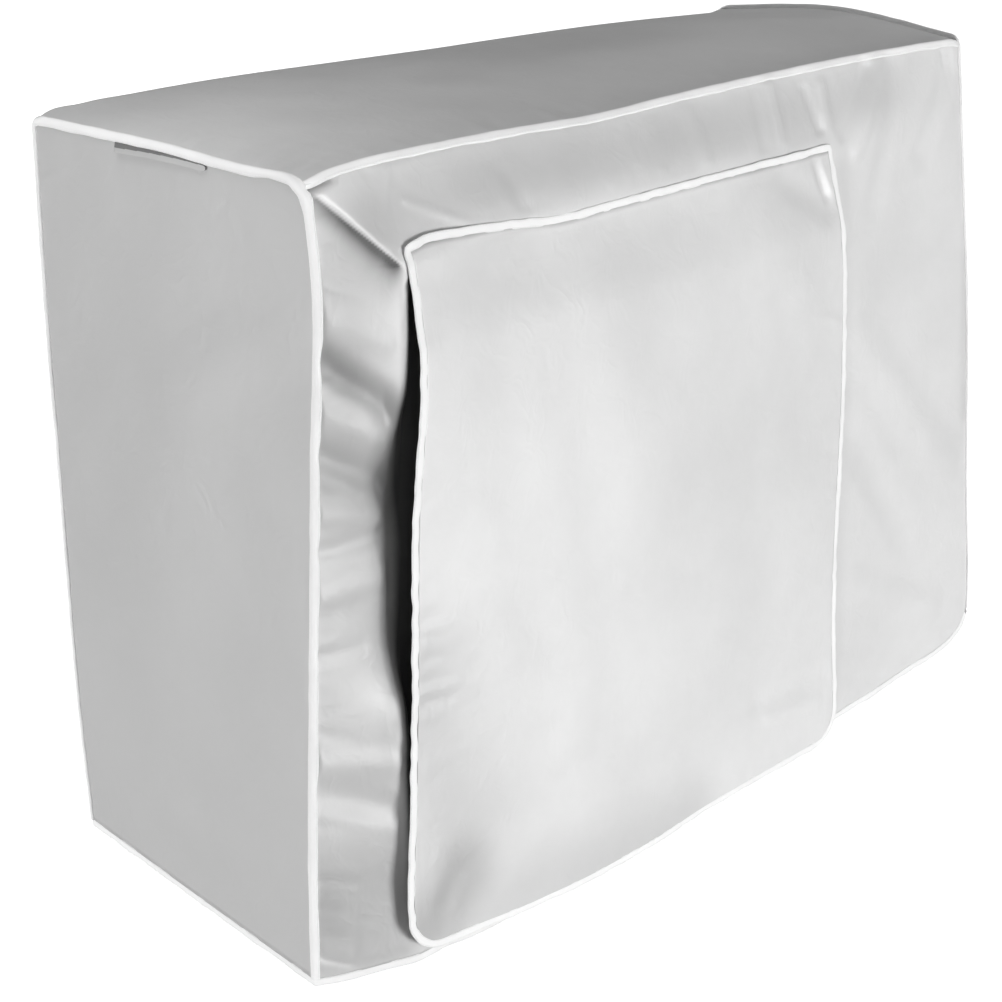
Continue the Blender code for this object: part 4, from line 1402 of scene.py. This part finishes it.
@dataclass
class SidePanel:
    """Side of the cover, cut round at the back fold."""

    finish: bpy.types.Material
    hand: Hand
    flat: tuple[float, float] = (0.355, 0.710)
    back: tuple[Spacing, ...] = (Spacing(0.00, 0.10, 18), Spacing(0.10, 1.00, 64))
    level: tuple[Spacing, ...] = (
        Spacing(0.00, 0.90, 118), Spacing(0.90, 0.965, 20), Spacing(0.965, 1.00, 12),
    )

    def surface(self, back: Field, level: Field) -> Field:
        """Points of the outer face.

        The panel lies between the front and the back edge, drawn in at the top back
        by the fold's circle, and bows a little outwards as sine times sine.

        Args:
            back: share of the depth.
            level: share of the height.

        Returns:
            Points in the maker's frame.
        """
        left = self.hand is Hand.LEFT
        front_edge = FRONT_LEFT_EDGE if left else FRONT_RIGHT_EDGE
        back_edge = BACK_LEFT_EDGE if left else BACK_RIGHT_EDGE
        hem = HEM_LEFT if left else HEM_RIGHT
        top = TOP_LEFT if left else TOP_RIGHT
        radius = SIZES.fold_end
        low = read(hem, "z", back) + SIZES.tape
        high = read(top, "z", back)
        rear_high = top[-1].z
        rear_height = mix(hem[-1].z + SIZES.tape, rear_high, level)
        above = np.clip(rear_height - (rear_high - radius), 0.0, radius)
        drawn_in = radius - np.sqrt(radius ** 2 - above ** 2)
        height = mix(low, high, level)
        near = edge_line(front_edge, height)
        far = edge_line(back_edge, height)
        far[..., 1] -= drawn_in
        points = mix(near, far, back[..., None])
        y = points[..., 1]
        bow = np.sin(math.pi * back) * np.sin(math.pi * level)
        ripple = 0.0012 * np.sin(9.0 * back + 5.0 * level) * bow
        inside = eased(back / 0.03) * eased((1 - back) / 0.03)
        inside = inside * eased((1 - level) / 0.016) * eased(level / 0.016)
        relief = fold_relief(SIDE_FOLDS, y, height)
        seed = 30 if left else 40
        relief = relief + puckers(height, y - near[..., 1], 0.0, 0.69, seed + 1, 0.0005)
        relief = relief + puckers(height, far[..., 1] - y, 0.0, 0.69, seed + 2, 0.0005)
        relief = relief + puckers(y, high - height, 0.0, 0.33, seed + 3, 0.0005)
        relief = relief + puckers(y, height - low, 0.0, 0.35, seed + 4, 0.0005)
        relief = relief + 0.0003 * unevenness(y, height, 0.120, seed)
        points[..., 0] += self.hand.value * (0.003 * bow + ripple + relief * inside)
        width = np.full(back.shape, 0.0 if left else 1.0)
        return rounded(points, width)

    def build(self) -> bpy.types.Object:
        """Make the panel."""
        name = "left_panel" if self.hand is Hand.LEFT else "right_panel"
        back, level = np.meshgrid(lines(self.back), lines(self.level))
        flat = np.stack((back * self.flat[0], level * self.flat[1]), axis=-1)
        return add_sheet(name, self.surface(back, level), flat, (self.hand.value, 0, 0),
                         self.finish)


@dataclass
class FrontFlap:
    """Loose flap: sewn to the front along its top edge, it hangs free and clear of it below."""

    finish: bpy.types.Material
    tape_finish: bpy.types.Material
    flat: tuple[float, float] = (0.597, 0.628)
    across: tuple[Spacing, ...] = (
        Spacing(0.00, 0.08, 24), Spacing(0.08, 0.92, 108), Spacing(0.92, 1.00, 24),
    )
    rows: int = 124
    corner_rows: int = 14

    def depth(self, x: Field, height: Field) -> Field:
        """Depth of the outer face.

        At its top it lies on the front. It eases into its free hang, a smooth curve
        from its left edge past its middle to its right edge at each height.

        Args:
            x: place across.
            height: height of the place.

        Returns:
            The y of each place.
        """
        place = (x - SIZES.flap_left) / (SIZES.flap_right - SIZES.flap_left)
        left = read(FLAP_HANG, "left", height)
        middle = read(FLAP_HANG, "middle", height)
        right = read(FLAP_HANG, "right", height)
        knots = np.array((0.0, 0.2, 0.5, 1.0))
        sizes = np.stack([left, mix(left, middle, 0.8), middle, right])
        hang = -curve_through(knots, sizes, place)
        seat = front_depth(x, np.maximum(height, SIZES.flap_top - SIZES.mitre_drop))
        seat = seat - SIZES.flap_seat
        fall = (SIZES.flap_top - height) / (SIZES.flap_top - SIZES.flap_bottom)
        inside = eased(fall / 0.05)
        rim = eased((x - 0.078) / 0.012) * eased((0.684 - x) / 0.012)
        relief = fold_relief(FLAP_FOLDS, x, height) * rim
        relief = relief + puckers(height, x - 0.080, 0.0, 0.63, 51, 0.0010, 0.020, 0.016)
        relief = relief + puckers(height, 0.680 - x, 0.0, 0.63, 52, 0.0010, 0.020, 0.016)
        relief = relief + puckers(x, height, 0.07, 0.69, 53, 0.0010, 0.022, 0.016)
        relief = relief + puckers(x, 0.626 - height, 0.07, 0.69, 54, 0.0008, 0.022, 0.016)
        relief = relief + 0.0008 * unevenness(x, height, 0.150, 55)
        return mix(seat, hang, eased(fall / 0.14)) - relief * inside

    def surface(self, share: Field, height: Field) -> Field:
        """Points of the outer face, narrowed by the round bottom corners.

        Args:
            share: share of the cloth's width at that height.
            height: height of the row, before the bottom edge's own sag.

        Returns:
            Points in the maker's frame.
        """
        radius = SIZES.flap_corner - SIZES.tape
        bottom = SIZES.flap_bottom + SIZES.tape
        under = np.clip(bottom + radius - height, 0.0, radius)
        draw = radius - np.sqrt(radius ** 2 - under ** 2)
        left = read(FLAP_SIDES, "left", height) + SIZES.tape + draw
        right = read(FLAP_SIDES, "right", height) - SIZES.tape - draw
        x = mix(left, right, share)
        z = height + read(FLAP_SAG, "drop", x) * eased((0.20 - height) / 0.20)
        z = z + read(FLAP_RISE, "drop", x) * eased((height - 0.50) / 0.13)
        return np.stack((x, self.depth(x, z), z), axis=-1)

    def heights(self) -> Field:
        """Heights of the rows, closer round the bottom corners."""
        radius = SIZES.flap_corner - SIZES.tape
        top = SIZES.flap_top - SIZES.tape
        bottom = SIZES.flap_bottom + SIZES.tape
        turn = np.linspace(0.0, math.pi / 2, self.corner_rows + 1)[1:]
        straight = np.linspace(top, bottom + radius, self.rows + 1)
        return np.concatenate([straight, bottom + radius * (1 - np.sin(turn))])

    def build(self) -> list[bpy.types.Object]:
        """Make the flap's cloth and the tape round it.

        Returns:
            The cloth and the tape.
        """
        share, height = np.meshgrid(lines(self.across), self.heights())
        points = self.surface(share, height)
        flat = np.stack((points[..., 0], points[..., 2]), axis=-1)
        # Painted shade of the flap's cloth.
        shade = np.clip(fold_relief(FLAP_PAINTED_SHADE, points[..., 0], points[..., 2]), 0.0, 0.9)
        cloth = add_sheet("front_flap", points, flat, (0, -1, 0), self.finish, shade)
        rim = np.concatenate([
            points[0, :-1], points[:-1, -1], points[-1, :0:-1], points[:0:-1, 0],
        ])
        path = resampled(rim, 0.0024, closed=True)
        facing = np.broadcast_to((0.0, -1.0, 0.0), path.shape)
        tape = EdgeTape("binding_flap", self.tape_finish, seed=61)
        centre = np.array((0.38, -0.04, 0.31))
        return [cloth, tape.build(path, facing, path - centre)]


def resampled(path: Field, step: float, closed: bool) -> Field:
    """Spread points evenly along a path.

    Args:
        path: points in order.
        step: wanted distance between points.
        closed: whether the path ends where it starts.

    Returns:
        Points by straight reading between the old ones.
    """
    if closed:
        path = np.concatenate([path, path[:1]])
    steps = np.linalg.norm(np.diff(path, axis=0), axis=1)
    travel = np.concatenate([[0.0], np.cumsum(steps)])
    count = max(int(round(travel[-1] / step)), 4)
    places = np.linspace(0.0, travel[-1], count, endpoint=not closed)
    return np.stack([np.interp(places, travel, path[:, axis]) for axis in range(3)], axis=-1)


def tangents(path: Field, closed: bool, reach: int = 2) -> Field:
    """Directions along a path, each evened out over its neighbours.

    Args:
        path: points in order.
        closed: whether the path ends where it starts.
        reach: how many neighbours to each side count.

    Returns:
        Unit directions.
    """
    mode = "wrap" if closed else "edge"
    padded = np.pad(path, ((reach + 1, reach + 1), (0, 0)), mode=mode)
    ahead = padded[2:] - padded[:-2]
    total = sum(ahead[k:k + len(path)] for k in range(2 * reach + 1))
    return unit(total)


def drift(count: int, seed: int, size: float) -> Field:
    """Slow random wander along a tape: noise evened out over neighbours, about size high."""
    rng = np.random.default_rng(seed)
    kernel = np.hanning(11)
    noise = np.convolve(rng.normal(0.0, 1.0, count + 10), kernel, mode="valid")
    return size * noise / np.sqrt(np.sum(kernel ** 2))


@dataclass
class EdgeTape:
    """Tape folded round a raw edge, in one flat rounded section."""

    name: str
    finish: bpy.types.Material
    seed: int
    section: int = 18

    def build(self, path: Field, facing: Field, outward: Field) -> bpy.types.Object:
        """Make the tape along a closed path.

        The section is a flat oval whose two sides are powers of cosine and sine. It
        reaches from just inside the edge to a tape's width beyond it.

        Args:
            path: points of the cloth's edge.
            facing: direction that the cloth's outer face looks at each point.
            outward: rough direction away from the cloth at each point.

        Returns:
            The new object.
        """
        across = unit(np.cross(facing, tangents(path, closed=True, reach=1)))
        across *= np.sign(np.sum(across * outward, axis=1, keepdims=True))
        middle = path - facing * SIZES.cloth / 2
        turn = np.linspace(0.0, 2 * math.pi, self.section, endpoint=False)
        flatness = 0.55
        wide = np.sign(np.cos(turn)) * np.abs(np.cos(turn)) ** flatness
        thick = np.sign(np.sin(turn)) * np.abs(np.sin(turn)) ** flatness
        reach = SIZES.tape + SIZES.tape_tuck
        widths = (1 + drift(len(path), self.seed, 0.03))[:, None] * reach * (wide + 1) / 2
        swell = (1 + drift(len(path), self.seed + 1, 0.08))[:, None]
        heights = swell * thick * SIZES.tape_thickness / 2
        sway = drift(len(path), self.seed + 2, 0.0003)[:, None]
        rings = (middle[:, None, :]
                 + across[:, None, :] * (widths - SIZES.tape_tuck)[..., None]
                 + facing[:, None, :] * (heights + sway)[..., None])
        return add_tube(self.name, rings, wide * reach / 2, True, self.finish)


@dataclass
class SeamTape:
    """Tape bent over a seam where two panels meet at a corner."""

    name: str
    finish: bpy.types.Material
    seed: int
    outer: int = 15
    inner: int = 5

    def build(self, path: Field, leg_a: Field, leg_b: Field, size_a: Field,
              size_b: Field) -> bpy.types.Object:
        """Make the tape along an open path.

        Across the tape, a share from -1 to 1 runs down one leg, round a small bend
        and down the other. Each leg's share is half the root of share squared plus
        bend squared, less or plus half the share. The tape stands out by its rise
        times the root of one less the share to the eighth.

        Args:
            path: points of the seam.
            leg_a: direction away from the seam on the first panel.
            leg_b: direction away from the seam on the second panel.
            size_a: length of the first leg at each point.
            size_b: length of the second leg at each point.

        Returns:
            The new object.
        """
        along = tangents(path, closed=False)
        normal_a = unit(np.cross(leg_a, along))
        normal_b = unit(np.cross(leg_b, along))
        normal_a *= -np.sign(np.sum(normal_a * leg_b, axis=1, keepdims=True) + 1e-12)
        normal_b *= -np.sign(np.sum(normal_b * leg_a, axis=1, keepdims=True) + 1e-12)
        bend = 0.22
        over = np.linspace(-1.0, 1.0, self.outer)
        under = np.linspace(0.94, -0.94, self.inner)
        share = np.concatenate([over, under])
        root = np.sqrt(share ** 2 + bend ** 2)
        part_a = (root - share) / 2
        part_b = (root + share) / 2
        blend = eased((share + 0.45) / 0.9)
        raised = SIZES.tape_rise * np.sqrt(np.maximum(1 - np.abs(over) ** 8, 0.0))
        rise = np.concatenate([raised, np.full(self.inner, -0.0003)])
        stretch = (1 + drift(len(path), self.seed, 0.035))[:, None, None]
        swell = (1 + drift(len(path), self.seed + 1, 0.08))[:, None, None]
        legs = ((leg_a * size_a[:, None])[:, None, :] * part_a[None, :, None]
                + (leg_b * size_b[:, None])[:, None, :] * part_b[None, :, None])
        normal = unit(normal_a[:, None, :] * (1 - blend)[None, :, None]
                      + normal_b[:, None, :] * blend[None, :, None])
        rings = path[:, None, :] + legs * stretch + normal * rise[None, :, None] * swell
        return add_tube(self.name, rings, share * SIZES.tape_leg, False, self.finish)


@dataclass
class Bindings:
    """All the tape of the cover but the flap's own."""

    finish: bpy.types.Material
    front: FrontPanel
    strip: TopAndBack
    left: SidePanel
    right: SidePanel
    step: float = 0.0035
    stand: float = 0.0034
    face: float = 0.0076
    turned: float = 0.0016

    def side(self, hand: Hand) -> bpy.types.Object:
        """Tape round a side panel: up its back edge, over the top and down the front edge.

        Args:
            hand: which side.

        Returns:
            The new object.
        """
        column = 0.0 if hand is Hand.LEFT else 1.0
        inner = SIZES.tape_leg / SIZES.width
        beside = inner if hand is Hand.LEFT else 1 - inner
        stages = np.linspace(3.0, 0.0, 700)
        ups = np.linspace(1.0, 0.0, 260)[1:]

        def line(place: float) -> Field:
            """Points up the back, over the top and down the front, at a share of the width."""
            behind = self.strip.surface(np.full(stages.shape, place), stages)
            ahead = self.front.surface(np.full(ups.shape, place), ups)
            return np.concatenate([behind, ahead])

        seam = line(column)
        steps = np.linalg.norm(np.diff(seam, axis=0), axis=1)
        travel = np.concatenate([[0.0], np.cumsum(steps)])
        places = np.linspace(0.0, travel[-1], int(travel[-1] / self.step))

        def along(points: Field) -> Field:
            """Points at even steps along the seam."""
            return np.stack([np.interp(places, travel, points[:, k]) for k in range(3)], axis=-1)

        path = along(seam)
        leg_b = unit(along(line(beside)) - path)
        over = eased((path[:, 1] - 0.004) / 0.020) * eased((0.350 - path[:, 1]) / 0.014)
        high = eased((path[:, 2] - 0.670) / 0.015)
        over = over * high
        corner = high * np.exp(-((path[:, 1] / 0.016) ** 2))
        narrow = high * np.exp(-(((path[:, 1] - 0.040) / 0.016) ** 2))
        path[:, 2] += self.stand * over
        size_a = mix(SIZES.tape_leg, self.face, over) + 0.0030 * corner - 0.0016 * narrow
        size_b = mix(SIZES.tape_leg, self.turned, over) + 0.0014 * corner
        leg_a = unit(np.cross(tangents(path, closed=False), np.array((1.0, 0.0, 0.0))))
        centre = np.array((0.0, SIZES.depth / 2, 0.35))
        leg_a *= np.sign(np.sum(leg_a * (centre - path), axis=1, keepdims=True))
        name = "binding_left" if hand is Hand.LEFT else "binding_right"
        tape = SeamTape(name, self.finish, 71 if hand is Hand.LEFT else 75)
        return tape.build(path, leg_a, leg_b, size_a, size_b)

    def front_top(self) -> bpy.types.Object:
        """Tape along the seam between the top and the front, tucked in at both ends."""
        ends = 0.004 / SIZES.width
        across = np.linspace(ends, 1 - ends, int(SIZES.width / self.step))
        zero = np.zeros(across.shape)
        path = self.strip.surface(across, zero)
        back = unit(self.strip.surface(across, zero + 0.026) - path)
        down = unit(self.front.surface(across, zero + 0.989) - path)
        path[:, 2] += 0.6 * self.stand * eased(across / 0.03) * eased((1 - across) / 0.02)
        tape = SeamTape("binding_front_top", self.finish, 81)
        return tape.build(path, down, back, zero + 0.8 * self.face, zero + self.turned)

    def hem(self) -> bpy.types.Object:
        """Tape round the open bottom.

        Returns:
            The new object.
        """
        share = np.linspace(0.0, 1.0, 260)
        zero = np.zeros(share.shape)
        walls = (
            self.front.surface(share, zero),
            self.right.surface(share, zero),
            self.strip.surface(share[::-1], zero + 3.0),
            self.left.surface(share[::-1], zero),
        )
        rim = np.concatenate([wall[:-1] for wall in walls])
        path = resampled(rim, 0.0034, closed=True)
        flat_path = path * np.array((1.0, 1.0, 0.0))
        along = tangents(flat_path, closed=True, reach=1)
        facing = unit(np.cross(along, np.array((0.0, 0.0, 1.0))))
        centre = np.array((SIZES.width / 2, SIZES.depth / 2, 0.0))
        facing *= np.sign(np.sum(facing * (flat_path - centre), axis=1, keepdims=True))
        down = np.broadcast_to((0.0, 0.0, -1.0), path.shape)
        return EdgeTape("binding_hem", self.finish, 91).build(path, facing, down)

    def build(self) -> list[bpy.types.Object]:
        """Make every tape."""
        return [self.side(Hand.LEFT), self.side(Hand.RIGHT), self.front_top(), self.hem()]


@dataclass
class SideTab:
    """Narrow tab that hangs from under the left top tape, with a painted shadow along its top."""

    finish: bpy.types.Material
    painted_shadow_finish: bpy.types.Material
    side: SidePanel
    front_end: float = 0.1165
    back_end: float = 0.2350
    drop: float = 0.0036
    height: float = 0.0088
    taper: float = 0.30
    stand: float = 0.0012
    painted_shadow_wedge: float = 0.50
    flat: tuple[float, float] = (0.119, 0.010)

    def build(self) -> bpy.types.Object:
        """Make the tab: it is lower and round at its front end, and leans out downwards.

        Returns:
            The new object.
        """
        share, down = np.meshgrid(np.linspace(0.0, 1.0, 90), np.linspace(0.0, 1.0, 21))
        radius = self.height * (1 - self.taper)
        lag = radius * (1 - np.sqrt(np.maximum(1 - (2 * down - 1) ** 2, 0.0)))
        y = mix(self.front_end + lag, self.back_end, share)
        top = read(TOP_LEFT, "z", y / SIZES.depth) - self.drop
        z = top - self.height * down * (1 - self.taper * (1 - share))
        back = y / (SIZES.depth - SIZES.back_fold * eased((z - 0.66) / 0.05))
        wall = self.side.surface(np.clip(y / (SIZES.depth - SIZES.back_fold), 0.0, 1.0),
                                 z / TOP_LEFT[0].z)
        lift = self.stand + 0.0022 * (0.3 + 0.7 * share) * down + 0.0002 * np.sin(40 * back)
        points = np.stack((wall[..., 0] - lift, y, z), axis=-1)
        flat = np.stack((y, z), axis=-1)
        piece = add_sheet("side_tab", points, flat, (-1, 0, 0), self.finish)
        # Painted shadow: the top faces take a near-black cloth where the tape's shadow falls on the
        # tab, in a band that narrows to the front end.
        piece.data.materials.append(self.painted_shadow_finish)
        painted_shadow_wedge = (down[:-1, :-1] < self.painted_shadow_wedge * (0.25 + 0.75 * share[:-1, :-1])).reshape(-1)
        piece.data.polygons.foreach_set("material_index", painted_shadow_wedge.astype(np.int32))
        return piece


@dataclass
class Light:
    """Soft square light."""

    name: str
    place: tuple[float, float, float]
    size: float
    power: float


@dataclass
class Studio:
    """Camera, lights, pale floor and backdrop."""

    camera_place: tuple[float, float, float] = (-1.5981, -1.5132, 0.3668)
    camera_pitch: float = 69.65
    camera_yaw: float = -45.35
    lens: float = 81.24
    floor_gap: float = 0.004
    floor_glow: float = 1.0
    floor_light: float = 0.05
    lights: tuple[Light, ...] = (
        Light("front_light", (0.3, -5.7, -0.80), 2.0, 248.0),
        Light("left_light", (-2.9, 0.9, -1.15), 1.6, 58.0),
        Light("top_left_light", (-0.62, -0.04, 0.42), 0.3, 1.3),
        Light("back_light", (1.2, 4.6, -1.0), 2.0, 90.0),
        Light("top_right_light", (0.60, 0.10, 0.60), 0.6, 0.8),
    )

    def camera(self) -> None:
        """Put the camera at the photograph's angle."""
        data = bpy.data.cameras.new("camera")
        data.lens = self.lens
        data.sensor_width = 36.0
        camera = bpy.data.objects.new("camera", data)
        camera.location = self.camera_place
        camera.rotation_euler = (math.radians(self.camera_pitch), 0.0,
                                 math.radians(self.camera_yaw))
        bpy.context.scene.collection.objects.link(camera)
        bpy.context.scene.camera = camera

    def light_up(self) -> None:
        """Add the soft lights, each turned to the middle of the cover."""
        target = np.array((0.0, 0.0, -0.36))
        for light in self.lights:
            data = bpy.data.lights.new(light.name, "AREA")
            data.shape = "SQUARE"
            data.size = light.size
            data.energy = light.power
            lamp = bpy.data.objects.new(light.name, data)
            lamp.location = light.place
            away = np.array(light.place) - target
            flat = math.hypot(away[0], away[1])
            lamp.rotation_euler = (math.atan2(flat, away[2]), 0.0,
                                   math.atan2(away[1], away[0]) + math.pi / 2)
            bpy.context.scene.collection.objects.link(lamp)

    def backdrop(self) -> None:
        """World: white to the camera, and for light dim at the horizon and paler overhead."""
        world = bpy.data.worlds.new("backdrop")
        world.use_nodes = True
        bench = NodeBench(world.node_tree)
        output = world.node_tree.nodes["World Output"]
        dim = world.node_tree.nodes["Background"]
        parts = bench.add("ShaderNodeSeparateXYZ",
                          {0: bench.add("ShaderNodeTexCoord").outputs["Generated"]})
        ramp = bench.add("ShaderNodeValToRGB", {0: parts.outputs[2]})
        ramp.color_ramp.elements[0].position = 0.0
        ramp.color_ramp.elements[0].color = (0.13, 0.13, 0.13, 1.0)
        ramp.color_ramp.elements[1].position = 0.85
        ramp.color_ramp.elements[1].color = (0.225, 0.225, 0.225, 1.0)
        world.node_tree.links.new(ramp.outputs[0], dim.inputs["Color"])
        white = bench.add("ShaderNodeBackground", {"Color": (1.0, 1.0, 1.0, 1.0)})
        seen = bench.add("ShaderNodeLightPath").outputs["Is Camera Ray"]
        both = bench.add("ShaderNodeMixShader",
                         {0: seen, 1: dim.outputs[0], 2: white.outputs[0]})
        world.node_tree.links.new(both.outputs[0], output.inputs["Surface"])
        bpy.context.scene.world = world

    def floor(self, level: float) -> None:
        """Pale floor just under the hem.

        Args:
            level: height of the cover's lowest point.
        """
        finish = bpy.data.materials.new("floor")
        finish.use_nodes = True
        shader = finish.node_tree.nodes["Principled BSDF"]
        shader.inputs["Base Color"].default_value = (0.90, 0.90, 0.90, 1.0)
        shader.inputs["Roughness"].default_value = 0.9
        shader.inputs["Emission Color"].default_value = (1.0, 1.0, 1.0, 1.0)
        bench = NodeBench(finish.node_tree)
        seen = bench.add("ShaderNodeLightPath").outputs["Is Camera Ray"]
        glow = bench.maths("MULTIPLY_ADD", seen, self.floor_glow, self.floor_light)
        finish.node_tree.links.new(glow, shader.inputs["Emission Strength"])
        half = 20.0
        z = level - self.floor_gap
        mesh = bpy.data.meshes.new("floor")
        mesh.from_pydata([(-half, -half, z), (half, -half, z), (half, half, z), (-half, half, z)],
                         [], [(0, 1, 2, 3)])
        mesh.materials.append(finish)
        floor = bpy.data.objects.new("floor", mesh)
        floor.visible_shadow = False
        bpy.context.scene.collection.objects.link(floor)
        floor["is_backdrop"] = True

    def build(self, level: float) -> None:
        """Set up the studio above a floor at the cover's lowest point."""
        self.camera()
        self.light_up()
        self.backdrop()
        self.floor(level)
        bpy.context.scene.view_settings.view_transform = "Standard"


def main() -> None:
    """Load the frame, build every piece on it and set up the studio."""
    logging.basicConfig(level=logging.INFO, format="%(name)s: %(message)s")
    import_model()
    low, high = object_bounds()
    cad_box = [list(low), list(high)]
    Studio().build(cad_box[0][2])

    cloth = ClothFinish().build()
    # Painted shade: the side panels and the tab take a darker copy of the silver cloth, standing in
    # for the sides' lesser light.
    painted_shade_side_cloth = ClothFinish("painted_shade_side_cloth", (0.470, 0.470, 0.470), (0.500, 0.500, 0.500)).build()
    tape = TapeFinish().build()
    front = FrontPanel(cloth)
    strip = TopAndBack(cloth)
    left = SidePanel(painted_shade_side_cloth, Hand.LEFT)
    right = SidePanel(painted_shade_side_cloth, Hand.RIGHT)
    front_piece = front.build()
    strip_piece = strip.build()
    left_piece = left.build()
    right_piece = right.build()
    flap = FrontFlap(cloth, tape)
    flap_piece, flap_tape = flap.build()
    # Painted shadow: a near-black copy of the cloth for the top of the tab.
    tab = SideTab(painted_shade_side_cloth,
                  ClothFinish("tab_painted_shadow", (0.12, 0.12, 0.12), (0.20, 0.20, 0.20)).build(), left)
    tab_piece = tab.build()
    left_tape, right_tape, top_tape, hem_tape = Bindings(tape, front, strip, left, right).build()

    low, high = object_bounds()


if __name__ == "__main__":
    main()
